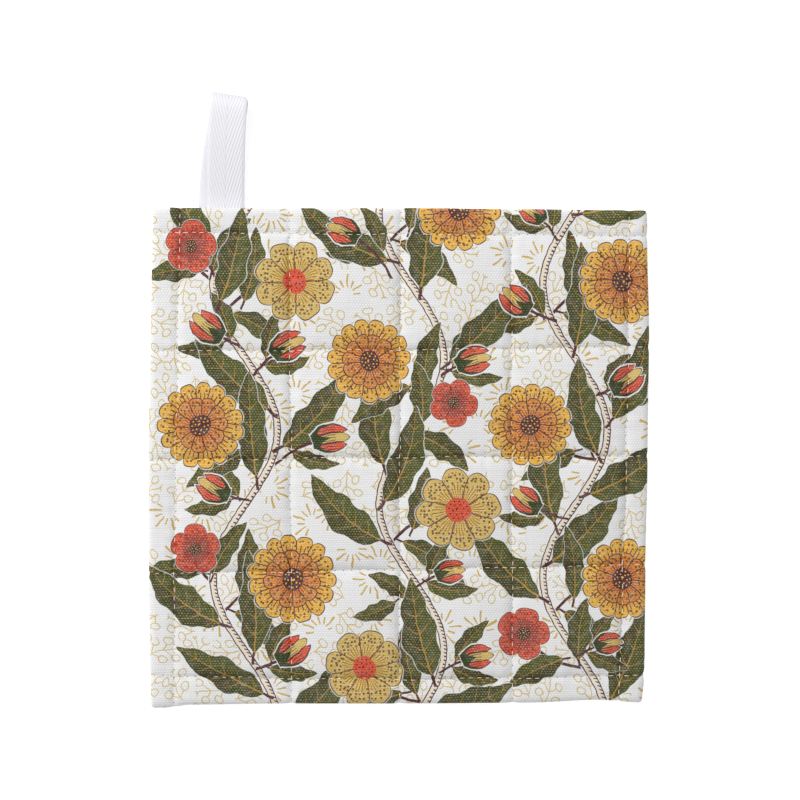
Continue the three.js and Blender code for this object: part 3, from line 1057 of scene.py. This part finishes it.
def draw_blooms(painter, inks, tree, drift, ink):
    """Rings of petals with drawn lines, stippled tips and a seeded heart."""
    across, up, mark = drawn_by_hand(tree, "bloom", drift, BLOOM.drift)
    kind = mark.floor()
    radius = (across * across + up * up).power(0.5)
    turns = up.angle_from(across) / math.tau + mark.fraction()
    for ring in PETAL_RINGS:
        own = abs(kind - ring["kind"]).below(0.5, 0.1)
        part = (turns * ring["petals"]).fraction() - 0.5
        side = abs(part)
        tip = ring["tip"] * (1 - ring["dip"] * (side * 2).power(3))
        inside = radius.within(tip, 0.006) * own
        if ring["tip"] == 1.0:
            painter.lay(inks.ground, radius.within(tip + BLOOM.outline * 2.0, 0.01) * own * 0.7)
        painter.lay(inks.maroon, radius.within(tip + BLOOM.outline, 0.006) * own)
        painter.lay(getattr(inks, ring["ink"]), inside)
        span = ring["tip"] - ring["foot"]
        reach = ring["lines_to"] - side * span * BLOOM.side_lines_short
        foot = radius.within(ring["lines_to"] - BLOOM.shade_short, 0.1)
        shade = (foot * 0.45).larger(ink.mottle.above(0.58, 0.08) * 0.35)
        painter.lay(getattr(inks, ring["shade"]), shade * inside)
        painter.lay(inks.bark, ink.thin * inside * 0.22)
        painter.lay(inks.maroon, ink.soaked * inside * 0.18)
        to_next = (0.5 - side) * radius * (math.tau / ring["petals"])
        between = to_next.below(BLOOM.outline * 0.5, 0.006) * radius.above(ring["foot"], 0.01)
        line = (part * ring["lines"] + 0.5).stripe(BLOOM.line, 0.05) * radius.within(reach, 0.01)
        painter.lay(inks.maroon, between.larger(line) * inside)
        dots = ink.dots.below(BLOOM.dot, 0.06) * (radius - reach).above(BLOOM.dots_past_lines, 0.02)
        dots = dots * radius.within(tip - span * BLOOM.dots_short, 0.02)
        painter.lay(inks.maroon, dots * inside * ring["dots"])
    for heart in HEARTS:
        own = abs(kind - heart["kind"]).below(0.5, 0.1)
        inside = radius.within(heart["radius"], 0.008) * own
        painter.lay(getattr(inks, heart["ink"]), inside)
        ring_number = radius / heart["radius"] * BLOOM.seed_rings
        seed_up = abs(ring_number.fraction() - 0.5)
        count = (ring_number.floor() * BLOOM.seeds_of_ring).larger(1.0)
        seed_side = abs((turns * count).fraction() - 0.5) * BLOOM.seed_width
        seed = (seed_up.power(2) + seed_side.power(2)).below(BLOOM.seed, 0.02)
        painter.lay(getattr(inks, heart["seeds"]), seed * inside)


BLACK = (0.0, 0.0, 0.0)
HOLE_SHADE = (0.02, 0.017, 0.015)
THREAD_SHADE = (0.35, 0.33, 0.3)
WEAVE_DRIFT = SimpleNamespace(warp=1.6, weft=1.4)  # how far threads stray from their straight way


def weave(tree, inks):
    """Plain weave: crossings (1 warp over, -1 weft over), level rows and uneven threads."""
    where = place_on_object(tree)
    x, y = parts_of(tree, where, 2)
    warp = (x + noise(tree, where, 0.09, 1.0) * WEAVE_DRIFT.warp) / (inks.warp_pitch / MM)
    weft = (y + noise(tree, where, 0.075, 1.0) * WEAVE_DRIFT.weft) / (inks.weft_pitch / MM)
    return SimpleNamespace(
        where=where, crossing=(warp * math.pi).sin() * (weft * math.pi).sin(),
        between_rows=1 - abs((weft * math.pi).sin()),
        upright=stretched_noise(tree, where, 1.7, 0.06, 1.0),
        level=stretched_noise(tree, where, 0.06, 1.05, 1.0),
    )


def weave_shade(cloth):
    """Painted shade in the weave: how much darker the hollows and the thicker threads are than the crests
    of the weft.
    """
    threads = cloth.upright.above(0.5, 0.35) * 0.04 + cloth.level.above(0.5, 0.35) * 0.05
    return (cloth.crossing * 0.5 + 0.5) * 0.11 + cloth.between_rows * 0.1 + threads


def weave_relief(cloth):
    """The weft stands highest, and no two threads are alike."""
    threads = (cloth.upright + cloth.level) * 0.5
    return (0.5 - cloth.crossing * 0.5) * 0.8 + (1 - cloth.between_rows) * 0.4 + threads


HOLE = SimpleNamespace(along=0.065, aside=0.2)  # half its size, in stitches and in millimetres
SEAM_SHADE_REACH = 1.3


def seams_on(tree):
    """Masks along the quilting lines: the needle's holes, and a band beside them for painted shade in the
    sewn channels.
    """
    apart, along, _ = attribute(tree, "upright_seam")
    apart_level, along_level, _ = attribute(tree, "level_seam")
    hole = along.stripe(HOLE.along, 0.03) * apart.below(HOLE.aside, 0.1)
    hole_level = along_level.stripe(HOLE.along, 0.03) * apart_level.below(HOLE.aside, 0.1)
    holes = hole.larger(hole_level)
    return SimpleNamespace(holes=holes, tight=apart.smaller(apart_level).below(SEAM_SHADE_REACH, 1.1))


def uneven_ink(tree, cloth, tight):
    """Masks of the ink's unevenness: slow mottle, soaked threads, thin ink on crests, and dots."""
    fleck = stretched_noise(tree, cloth.where, 0.8, 1.25, 1.5)
    weft_over = (cloth.crossing * -1).above(0.1, 0.5) * 0.8 + 0.2
    crests = (1 - cloth.between_rows).above(0.6, 0.3) * weft_over
    return SimpleNamespace(
        mottle=noise(tree, cloth.where, 0.45, 4.0), soaked=fleck.below(0.42, 0.12),
        # near the seams fewer bare threads show through the ink, as painted shade in the sewn channels
        thin=crests * (fleck.above(0.58, 0.12) * 0.8 + 0.45) * (1 - tight * 0.7),
        dots=speckle(tree, cloth.where, 0.62), tight=tight,
    )


def draw_print(painter, inks, tree, cloth, tight):
    """The whole design, from what lies lowest to what lies on top, then the thread's show-through."""
    ink = uneven_ink(tree, cloth, tight)
    drift = hand_drift(tree, cloth.where, 0.3)
    slow_drift = hand_drift(tree, cloth.where, 0.12)
    draw_sprigs(painter, inks, tree, drift)
    draw_stems(painter, inks, tree, drift)
    for layer in LEAF_LAYERS:
        draw_leaf(painter, inks, tree, layer, drift, ink)
    draw_buds(painter, inks, tree, drift, ink)
    draw_blooms(painter, inks, tree, slow_drift, ink)
    painter.lay(inks.ground, ink.thin * inks.thread_show)
    painter.lay(inks.ground, noise(tree, cloth.where, 0.35, 3.0).above(0.62, 0.2) * 0.08)


def cotton(name, inks, printed):
    """Off-white plain weave, printed or bare, with the needle's holes."""
    material, tree, shader = new_material(name, 0.92, 0.06)
    painter = Painter(tree, inks.ground)
    cloth = weave(tree, inks)
    seams = seams_on(tree)
    if printed:
        draw_print(painter, inks, tree, cloth, seams.tight)
    # painted shade in the hollows of the weave
    painter.lay(BLACK, weave_shade(cloth))
    # painted shade in the needle holes
    painter.lay(HOLE_SHADE, seams.holes * 0.75)
    finish_surface(tree, shader, painter, weave_relief(cloth), inks.weave_depth)
    return material


def sewing_thread(stitches):
    """Soft white thread with a little shade between its plies."""
    material, tree, shader = new_material("sewing thread", 0.7, 0.05)
    painter = Painter(tree, stitches.colour)
    ply = noise(tree, place_on_object(tree), 5.0, 1.0)
    painter.lay(THREAD_SHADE, ply.above(0.6, 0.2) * 0.3)
    finish_surface(tree, shader, painter, ply, 0.05 * MM)
    return material


# Colour laid for the painted shade on the tape, and for its darker fuzz
TAPE_SHADE = (0.28, 0.28, 0.32)
RIDGE_SLOPE = 0.3
BEAD = 0.9  # millimetres along the tape from one bead of a ridge to the next
CORD = 0.75
SELVEDGE = 0.7
FOLD_SHADE_REACH = 2.9


def herringbone_cotton(loop):
    """Herringbone tape: ridges that lean out from the middle line, crossed by fine weft, with painted shade
    in its hollows, on its inner faces, along its edges and over its fold.
    """
    material, tree, shader = new_material("herringbone cotton", 0.88, 0.08)
    across, along, outer = attribute(tree, "tape_place")
    side = abs(across)
    half = loop.width / MM / 2
    ridge = (side - along * RIDGE_SLOPE) / (loop.ridge_pitch / MM)
    crest = abs((ridge * math.pi).sin())
    bead = abs(((along / BEAD + ridge.floor() * 0.5) * math.pi).sin())
    selvedge = side.above(half - SELVEDGE, 0.15)
    cord = abs((along / CORD * math.pi).sin())
    middle = side.below(0.25, 0.15)
    fuzz = noise(tree, place_on_object(tree), 1.6, 3.0)
    right_side = 0.35 + outer.above(0.0, 0.1) * 0.65
    height = crest.power(0.7) * (0.75 + bead * 0.25) * (1 - selvedge) + cord * selvedge * 0.4 - middle * 0.3
    groove = (1 - crest).power(1.5) * (1 - selvedge)
    fold_painted_shade = abs(along).below(FOLD_SHADE_REACH, 2.6)
    painter = Painter(tree, loop.colour)
    # painted shade in the hollows: between the ridges, between their beads and along the middle line, less
    # on the inner face
    painter.lay(TAPE_SHADE, (groove * 0.07 + (1 - bead) * 0.07 + middle * 0.05) * right_side)
    # painted shade on the inner faces of the loop, which face each other between its legs
    painter.lay(TAPE_SHADE, outer.below(0.0, 0.1) * 0.13)
    painter.lay(TAPE_SHADE, fuzz.above(0.6, 0.2) * 0.05)
    # painted shade over the fold, which would otherwise catch the key light too brightly
    painter.lay(TAPE_SHADE, fold_painted_shade * 0.35)
    # painted shade along the tape's rounded edges
    painter.lay(TAPE_SHADE, side.above(half - 0.25, 0.15) * 0.15)
    finish_surface(tree, shader, painter, (height + fuzz * 0.2) * right_side, 0.15 * MM)
    return material


def new_object(name, data):
    """A new object in the scene."""
    made = bpy.data.objects.new(name, data)
    bpy.context.scene.collection.objects.link(made)
    return made


def mesh_object(name, points, faces, materials, material_of=None):
    """A smooth mesh object at the origin; points are in metres."""
    mesh = bpy.data.meshes.new(name)
    mesh.from_pydata([tuple(p) for p in points], [], [tuple(int(i) for i in f) for f in faces])
    for material in materials:
        mesh.materials.append(material)
    mesh.polygons.foreach_set("use_smooth", np.ones(len(mesh.polygons), bool))
    if material_of is not None:
        mesh.polygons.foreach_set("material_index", np.asarray(material_of, np.int32))
    mesh.validate()
    mesh.update()
    return new_object(name, mesh)


def write_vectors(piece, name, domain, rows):
    made = piece.data.attributes.new(name, "FLOAT_VECTOR", domain)
    made.data.foreach_set("vector", np.asarray(rows, np.float32).ravel())


def square_shift(plan):
    """From the middle of the square to the frame, so that the outline fits the pad's solid."""
    low, high = PAD_BOX
    middle = (low + high) / 2 / MM
    return [middle[k] - (places.min() + places.max()) / 2 for k, places in enumerate((plan.x, plan.y))]


def seam_shares(plan, margin):
    """The quilting lines' columns and rows in the mesh, and how far along its stitching each
    station of a line lies: 0 at the first hole and 1 at the last."""
    def shares(places):
        low, high = places[0] + margin, places[-1] - margin
        return (places - low) / (high - low)

    def line_stations(cells, at):
        """A line stands where its cell's share is whole."""
        return [int(np.flatnonzero((cells == k) & (at == 1.0))[0]) for k in range(len(UPRIGHT_LINES))]

    columns, rows = line_stations(*plan.columns), line_stations(*plan.rows)
    upright = np.array([shares(plan.y[column, :]) for column in columns])
    level = np.array([shares(plan.x[:, row]) for row in rows])
    return columns, rows, upright, level


def nearest_line(cells, low, high):
    """The number of the quilting line nearest to each place, and the distance to it."""
    last = len(UPRIGHT_LINES)
    use_high = (cells == 0) | ((cells != last) & (high < low))
    number = np.where(use_high, np.clip(cells, 0, last - 1), np.clip(cells - 1, 0, last - 1))
    return number, np.where(use_high, high, low)


def grid_faces(columns, rows):
    """Faces of a grid of points, and the points round its edge, anticlockwise from the first."""
    numbers = np.arange(columns * rows).reshape(columns, rows)
    corners = (numbers[:-1, :-1], numbers[1:, :-1], numbers[1:, 1:], numbers[:-1, 1:])
    quads = np.stack(corners, axis=-1).reshape(-1, 4)
    sides = (numbers[:-1, 0], numbers[-1, :-1], numbers[:0:-1, -1], numbers[0, :0:-1])
    return quads, np.concatenate(sides)


def side_groove(top, foot, around, depth):
    """The line of the side seam: half way between the cloths and drawn in."""
    groove = (top[around] + foot[around]) / 2
    run = groove[:, :2] - np.roll(groove[:, :2], 1, axis=0)
    outward = np.stack([run[:, 1], -run[:, 0]], axis=1)
    outward /= np.maximum(np.hypot(*run.T), 1e-6)[:, None]
    groove[:, :2] -= outward * depth
    return groove


def write_seams(piece, plan, stitches, where):
    """For each point the distance to the nearest quilting line each way, and its count of stitches."""
    _, _, upright, level = seam_shares(plan, stitches.margin / MM)
    columns, rows = plan.x.shape
    column_cells, row_cells = plan.columns[0][:, None], plan.rows[0][None, :]
    line, apart = nearest_line(column_cells, plan.x_low, plan.x_high)
    level_line, level_apart = nearest_line(row_cells, plan.y_low, plan.y_high)
    for name, distance, share in (
        ("upright_seam", apart, upright[line, np.arange(rows)[None, :]]),
        ("level_seam", level_apart, level[level_line, np.arange(columns)[:, None]]),
    ):
        values = np.stack([distance, share * stitches.count, 0 * distance], axis=-1)
        write_vectors(piece, name, "POINT", values.reshape(-1, 3)[where])


class POTHOLDER_OT_quilted_pad(bpy.types.Operator):
    """Build the quilted square: front and back cloth over wadding, turned at the edge"""

    bl_idname = "potholder.quilted_pad"
    bl_label = "Quilted Pad"

    def execute(self, context):
        scene = context.scene
        pad, stitches = scene.potholder_pad, scene.potholder_stitches
        plan = Plan(pad)
        shift_x, shift_y = plan.shift
        front, back = pillow_heights(plan, pad)
        count = plan.x.size
        quads, around = grid_faces(*plan.x.shape)
        top, foot = (np.stack([plan.x + shift_x, plan.y + shift_y, height], axis=-1).reshape(-1, 3)
                     for height in (front, back))
        groove = side_groove(top, foot, around, pad.seam_groove / MM)
        points = np.concatenate([top, foot, groove]) * MM

        following = np.roll(around, -1)
        ring = 2 * count + np.arange(len(around))
        ring_next = np.roll(ring, -1)
        upper = np.stack([ring, ring_next, following, around], axis=1)
        lower = np.stack([around + count, following + count, ring_next, ring], axis=1)
        faces = np.concatenate([quads, quads[:, ::-1] + count, upper, lower])
        material_of = np.repeat([0, 1, 0, 1], [len(quads), len(quads), len(upper), len(lower)])
        inks = scene.potholder_print
        cloths = [cotton("printed cotton", inks, True), cotton("plain cotton", inks, False)]
        piece = mesh_object("potholder_pad", points, faces, cloths, material_of)

        edge_faces = np.stack([around, following, following, around], axis=1)
        for name, values in print_attributes(plan, np.concatenate([quads, edge_faces])).items():
            front_rows, edge_rows = np.split(values, [4 * len(quads)])
            parts = [front_rows, np.zeros_like(front_rows), edge_rows, edge_rows]
            write_vectors(piece, name, "CORNER", np.concatenate(parts))
        where = np.concatenate([np.arange(count), np.arange(count), around])
        write_seams(piece, plan, stitches, where)

        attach(piece, "root")
        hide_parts("quilted_pad")
        return {"FINISHED"}


def seam_curves(name, points_of_lines):
    """One curve object with a straight-stepped spline for each quilting line."""
    curve = bpy.data.curves.new(name, "CURVE")
    curve.dimensions = "3D"
    for points in points_of_lines:
        spline = curve.splines.new("POLY")
        spline.points.add(len(points) - 1)
        flat = np.column_stack([points, np.ones(len(points))])
        spline.points.foreach_set("co", flat.ravel())
    return new_object(name, curve)


STITCH_INPUTS = {
    "Geometry": "Geometry", "Stitches": "Int", "Pitch": "Float", "Thread": "Float", "Arch": "Float",
    "Side": "Float", "Wander": "Float", "Seed": "Int", "Material": "Material",
}
STITCH_START = 0.07  # share of the pitch from a hole to where its stitch comes up


def stitch_tree():
    """Stitches along curves: an arch of thread from each hole to the next."""
    tree = bpy.data.node_groups.new("running stitches", "GeometryNodeTree")
    for name, kind in STITCH_INPUTS.items():
        tree.interface.new_socket(name, in_out="INPUT", socket_type=f"NodeSocket{kind}")
    tree.interface.new_socket("Geometry", in_out="OUTPUT", socket_type="NodeSocketGeometry")
    outputs = tree.nodes.new("NodeGroupInput").outputs
    given = {name: Formula(tree, outputs[name]) for name in STITCH_INPUTS}

    def add(kind, values=None, **settings):
        return add_node(tree, kind, values, **settings).outputs[0]

    def vector(x, y, z):
        return add("ShaderNodeCombineXYZ", {0: x, 1: y, 2: z})

    wander, pitch, thread = given["Wander"], given["Pitch"], given["Thread"]
    holes = add("GeometryNodeResampleCurve",
                {"Curve": given["Geometry"], "Count": given["Stitches"] + 1}, mode="COUNT")
    low, high = vector(wander * -1, wander * -1, 0.0), vector(wander, wander, 0.0)
    aside = add("FunctionNodeRandomValue", {"Min": low, "Max": high, "Seed": given["Seed"]},
                data_type="FLOAT_VECTOR")
    moved = add("GeometryNodeSetPosition", {"Geometry": holes, "Offset": aside})
    tangent = add("GeometryNodeInputTangent")
    turn = add("FunctionNodeAlignRotationToVector", {"Vector": tangent}, axis="X", pivot_axis="AUTO")

    sunk = thread * given["Side"] * -1.1
    arch = add("GeometryNodeCurveQuadraticBezier", {
        "Resolution": 6,
        "Start": vector(pitch * STITCH_START, 0.0, sunk),
        "Middle": vector(pitch * 0.5, 0.0, given["Arch"] * given["Side"]),
        "End": vector(pitch * (1 - STITCH_START), 0.0, sunk),
    })
    section = add("GeometryNodeCurvePrimitiveCircle", {"Resolution": 6, "Radius": thread * 0.5})
    stitch = add("GeometryNodeCurveToMesh", {"Curve": arch, "Profile Curve": section, "Fill Caps": True})

    last = add("GeometryNodeCurveEndpointSelection", {"Start Size": 0, "End Size": 1})
    others = add("FunctionNodeBooleanMath", {0: last}, operation="NOT")
    placed = add("GeometryNodeInstanceOnPoints",
                 {"Points": moved, "Selection": others, "Instance": stitch, "Rotation": turn})
    smooth = add("GeometryNodeSetShadeSmooth", {0: add("GeometryNodeRealizeInstances", {0: placed})})
    dressed = add("GeometryNodeSetMaterial", {"Geometry": smooth, "Material": given["Material"]})
    plug(tree, dressed, tree.nodes.new("NodeGroupOutput").inputs[0])
    return tree


def made_by_nodes(holder, tree, values, name):
    """The plain mesh that a node tree makes from an object, as a piece of its own."""
    modifier = holder.modifiers.new("made", "NODES")
    modifier.node_group = tree
    for item in tree.interface.items_tree:
        if item.item_type == "SOCKET" and item.in_out == "INPUT" and item.name in values:
            modifier[item.identifier] = values[item.name]
    bpy.context.view_layer.update()
    graph = bpy.context.evaluated_depsgraph_get()
    mesh = bpy.data.meshes.new_from_object(holder.evaluated_get(graph), depsgraph=graph)
    mesh.name = name
    piece = new_object(name, mesh)
    bpy.data.objects.remove(holder)
    return piece


class POTHOLDER_OT_quilting(bpy.types.Operator):
    """Sew the quilting lines through the pad, with white thread on the front and the back"""

    bl_idname = "potholder.quilting"
    bl_label = "Quilting Stitches"

    def execute(self, context):
        scene = context.scene
        pad, stitches = scene.potholder_pad, scene.potholder_stitches
        plan = Plan(pad)
        shift_x, shift_y = plan.shift
        heights = pillow_heights(plan, pad)
        columns, rows, upright, level = seam_shares(plan, stitches.margin / MM)
        even = np.linspace(0, 1, stitches.count * 2 + 1)
        thread = sewing_thread(stitches)
        tree = stitch_tree()
        for side, height, face_up in (("front", heights[0], 1.0), ("back", heights[1], -1.0)):
            grid = np.stack([plan.x + shift_x, plan.y + shift_y, height])
            lines = [(grid[:, column, :], share) for column, share in zip(columns, upright)]
            lines += [(grid[:, :, row], share) for row, share in zip(rows, level)]
            paths = [np.column_stack([np.interp(even, share, places) for places in line]) * MM
                     for line, share in lines]
            holder = seam_curves(f"seams_{side}", paths)
            piece = made_by_nodes(holder, tree, {
                "Stitches": stitches.count,
                "Pitch": (SIDE - 2 * stitches.margin / MM) / stitches.count * MM,
                "Thread": stitches.thread,
                "Arch": stitches.arch,
                "Side": face_up,
                "Wander": stitches.wander,
                "Seed": 3,
                "Material": thread,
            }, f"quilting_stitches_{side}")
            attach(piece, "root")
        return {"FINISHED"}


FINE_STEPS = 24  # from one point of the way to the next, before it is spaced evenly


def smooth_way(points, steps):
    """Places along a smooth curve through points, evenly spaced, with its knots' shares."""
    ends = np.vstack([2 * points[0] - points[1], points, 2 * points[-1] - points[-2]])
    fine, knots = [], []
    for k in range(len(points) - 1):
        p0, p1, p2, p3 = ends[k:k + 4]
        t = [0.0]
        for a, b in ((p0, p1), (p1, p2), (p2, p3)):
            t.append(t[-1] + max(1e-6, np.linalg.norm(b - a)) ** 0.5)
        step = (p2 - p1) / (t[2] - t[1])
        m1 = (t[2] - t[1]) * ((p1 - p0) / (t[1] - t[0]) - (p2 - p0) / (t[2] - t[0]) + step)
        m2 = (t[2] - t[1]) * (step - (p3 - p1) / (t[3] - t[1]) + (p3 - p2) / (t[3] - t[2]))
        for u in np.linspace(0, 1, FINE_STEPS, endpoint=False):
            h = (2 * u**3 - 3 * u**2 + 1, u**3 - 2 * u**2 + u, -2 * u**3 + 3 * u**2, u**3 - u**2)
            fine.append(h[0] * p1 + h[1] * m1 + h[2] * p2 + h[3] * m2)
            knots.append(k + u)
    fine.append(points[-1])
    knots.append(len(points) - 1.0)
    fine = np.array(fine)
    run = np.concatenate([[0], np.cumsum(np.linalg.norm(np.diff(fine, axis=0), axis=1))])
    even = np.linspace(0, run[-1], steps + 1)
    places = np.column_stack([np.interp(even, run, fine[:, k]) for k in range(3)])
    return places, np.interp(even, run, knots), even


# Where the tape's two legs leave the edge, and how high they lie there
TAPE_FEET = {"front": (-69.95, 2.85), "back": (-73.5, 1.75)}
FOLD_MIDDLE = -68.4


def tape_way(loop):
    """The tape's middle from one end to the other, and the turn in plan at each of its points."""
    edge, tucked = SIDE / 2, loop.tucked / MM
    (front_x, front_z), (back_x, back_z) = TAPE_FEET["front"], TAPE_FEET["back"]
    points = [(front_x, edge - tucked, front_z), (front_x, edge, front_z)]
    for row in TAPE_WAY:
        foot, _ = TAPE_FEET[row["leg"]]
        aside = foot + (FOLD_MIDDLE - foot) * row["side"]
        points.append((aside, edge + loop.reach / MM * row["run"], loop.rise / MM * row["rise"]))
    points += [(back_x, edge, back_z), (back_x, edge - tucked, back_z)]
    leans = [row["lean"] for row in TAPE_WAY]
    return np.array(points), [leans[0]] * 2 + leans + [leans[-1]] * 2


# Shares of the tape's half width: its flat part, the bend of its selvedge, and how that thins out
FLAT_TO = 0.95
SELVEDGE_BEND = 0.98
THIN_TO = 1.02
THIN_OVER = 0.07


def tape_section(loop, steps):
    """Outline of the tape across its length: flat, with thin selvedges."""
    inner = np.linspace(-FLAT_TO, FLAT_TO, steps - 3)
    shares = np.concatenate([[-1, -SELVEDGE_BEND], inner, [SELVEDGE_BEND, 1]])
    half = loop.thickness / MM / 2 * np.sqrt(np.clip((THIN_TO - np.abs(shares)) / THIN_OVER, 0, 1))
    across = shares * loop.width / MM / 2
    return np.concatenate([np.column_stack([across, half]), np.column_stack([across, -half])[::-1]])


def tube_faces(rings, ring, steps):
    """Faces of a flat tube of so many rings of points, closed at both ends."""
    k, m = np.meshgrid(np.arange(rings - 1), np.arange(ring), indexing="ij")
    start, following = k * ring, (m + 1) % ring
    sides = np.stack([start + m, start + following, start + ring + following, start + ring + m], axis=-1)
    a = np.arange(steps)
    b = ring - 1 - a
    cap = np.stack([a, b, b - 1, a + 1], axis=1)
    return np.concatenate([sides.reshape(-1, 4), cap, cap[:, ::-1] + (rings - 1) * ring])


class POTHOLDER_OT_hanging_loop(bpy.types.Operator):
    """Fold a length of herringbone tape and sew both ends into the top edge"""

    bl_idname = "potholder.hanging_loop"
    bl_label = "Hanging Loop"

    steps = 120
    across_steps = 14
    fold_reach = 3.5  # millimetres to each side of the fold over which the tape is drawn in
    fold_draw = 0.15
    lowest = 0.02  # millimetres over the surface

    def execute(self, context):
        scene = context.scene
        loop = scene.potholder_loop
        shift = Plan(scene.potholder_pad).shift
        points, leans = tape_way(loop)
        middles, knots, run = smooth_way(points, self.steps)
        lean = np.radians(np.interp(knots, np.arange(len(leans)), leans))
        across = np.column_stack([np.cos(lean), -np.sin(lean), np.zeros_like(lean)])
        normal = np.cross(across, np.gradient(middles, axis=0))
        normal /= np.linalg.norm(normal, axis=1)[:, None]

        section = tape_section(loop, self.across_steps)
        ring = len(section)
        from_fold = run - run[middles[:, 1].argmax()]
        near = np.maximum(0.0, 1 - np.abs(from_fold) / self.fold_reach)
        drawn_in = 1 - self.fold_draw * near ** 2
        offsets = drawn_in[:, None] * section[None, :, 0]
        points = (middles[:, None, :] + across[:, None, :] * offsets[:, :, None]
                  + normal[:, None, :] * section[None, :, 1:]).reshape(-1, 3)
        points[:, 2] = np.maximum(self.lowest, points[:, 2])
        points[:, :2] += shift
        faces = tube_faces(len(middles), ring, self.across_steps)
        places = np.column_stack([
            np.tile(section[:, 0], len(middles)), np.repeat(from_fold, ring),
            np.tile(np.sign(section[:, 1]), len(middles)),
        ])
        piece = mesh_object("tape_loop", points * MM, faces, [herringbone_cotton(loop)])
        write_vectors(piece, "tape_place", "POINT", places)
        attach(piece, "root")
        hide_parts("hanging_loop")
        return {"FINISHED"}


WHITE = (1.0, 1.0, 1.0, 1.0)
FLOOR_REACH = 30.0  # metres, past every view's horizon
FLOOR_TOP = -0.0002
KEY_SIZE = 0.9
KEY_PLACE = (-0.75, 0.8, 1.1)
CLOTH_HEIGHT = 5.0  # of the middle of the front cloth


class POTHOLDER_OT_studio(bpy.types.Operator):
    """Set a pale floor, soft light from the upper left and a camera straight above"""

    bl_idname = "potholder.studio"
    bl_label = "Studio"

    def execute(self, context):
        scene = context.scene
        studio = scene.potholder_studio
        material, _, shader = new_material("pale floor", 0.9, 0.0)
        shader.inputs["Base Color"].default_value = (*studio.floor_colour, 1.0)
        shader.inputs["Emission Color"].default_value = WHITE
        shader.inputs["Emission Strength"].default_value = studio.floor_glow
        signs = ((-1, -1), (1, -1), (1, 1), (-1, 1))
        corners = [(x * FLOOR_REACH, y * FLOOR_REACH, FLOOR_TOP) for x, y in signs]
        mesh_object("floor", corners, [(0, 1, 2, 3)], [material])

        world = bpy.data.worlds.new("studio")
        world.use_nodes = True
        background = world.node_tree.nodes["Background"]
        background.inputs["Color"].default_value = WHITE
        background.inputs["Strength"].default_value = studio.fill
        scene.world = world
        lamp = bpy.data.lights.new("key", "AREA")
        lamp.shape = "DISK"
        lamp.size = KEY_SIZE
        lamp.energy = studio.key_power
        key = new_object("key", lamp)
        key.location = KEY_PLACE
        key.rotation_euler = (-key.location).to_track_quat("-Z", "Y").to_euler()

        shift_x, shift_y = Plan(scene.potholder_pad).shift
        lens = bpy.data.cameras.new("camera")
        lens.sensor_width = 36.0
        to_cloth = studio.camera_height - CLOTH_HEIGHT * MM
        lens.lens = lens.sensor_width * to_cloth / (IMAGE_SIZE * MM_PER_PIXEL * MM)
        lens.clip_end = 20.0
        camera = new_object("camera", lens)
        right = (IMAGE_SIZE / 2 - SQUARE_PIXEL[0]) * MM_PER_PIXEL
        up = (SQUARE_PIXEL[1] - IMAGE_SIZE / 2) * MM_PER_PIXEL
        camera.location = ((shift_x + right) * MM, (shift_y + up) * MM, studio.camera_height)
        scene.camera = camera
        scene.view_settings.view_transform = "Standard"
        return {"FINISHED"}


class POTHOLDER_PT_sidebar(bpy.types.Panel):
    """Lists the pieces and their settings"""

    bl_label = "Quilted Potholder"
    bl_idname = "POTHOLDER_PT_sidebar"
    bl_space_type = "VIEW_3D"
    bl_region_type = "UI"
    bl_category = "Potholder"

    def draw(self, context):
        for operator in OPERATORS:
            self.layout.operator(operator.bl_idname)
        for name, settings in SETTINGS.items():
            box = self.layout.box()
            box.label(text=settings.__doc__)
            for field in settings.__annotations__:
                box.prop(getattr(context.scene, name), field)


OPERATORS = (
    POTHOLDER_OT_quilted_pad,
    POTHOLDER_OT_quilting,
    POTHOLDER_OT_hanging_loop,
    POTHOLDER_OT_studio,
)
CLASSES = (*SETTINGS.values(), *OPERATORS, POTHOLDER_PT_sidebar)


def register():
    for made in CLASSES:
        bpy.utils.register_class(made)
    for name, settings in SETTINGS.items():
        setattr(bpy.types.Scene, name, bpy.props.PointerProperty(type=settings))


def unregister():
    for name in SETTINGS:
        delattr(bpy.types.Scene, name)
    for made in reversed(CLASSES):
        bpy.utils.unregister_class(made)


def main():
    register()
    bpy.ops.potholder.studio()
    bpy.ops.potholder.quilted_pad()
    bpy.ops.potholder.quilting()
    bpy.ops.potholder.hanging_loop()


if __name__ == "__main__":
    main()
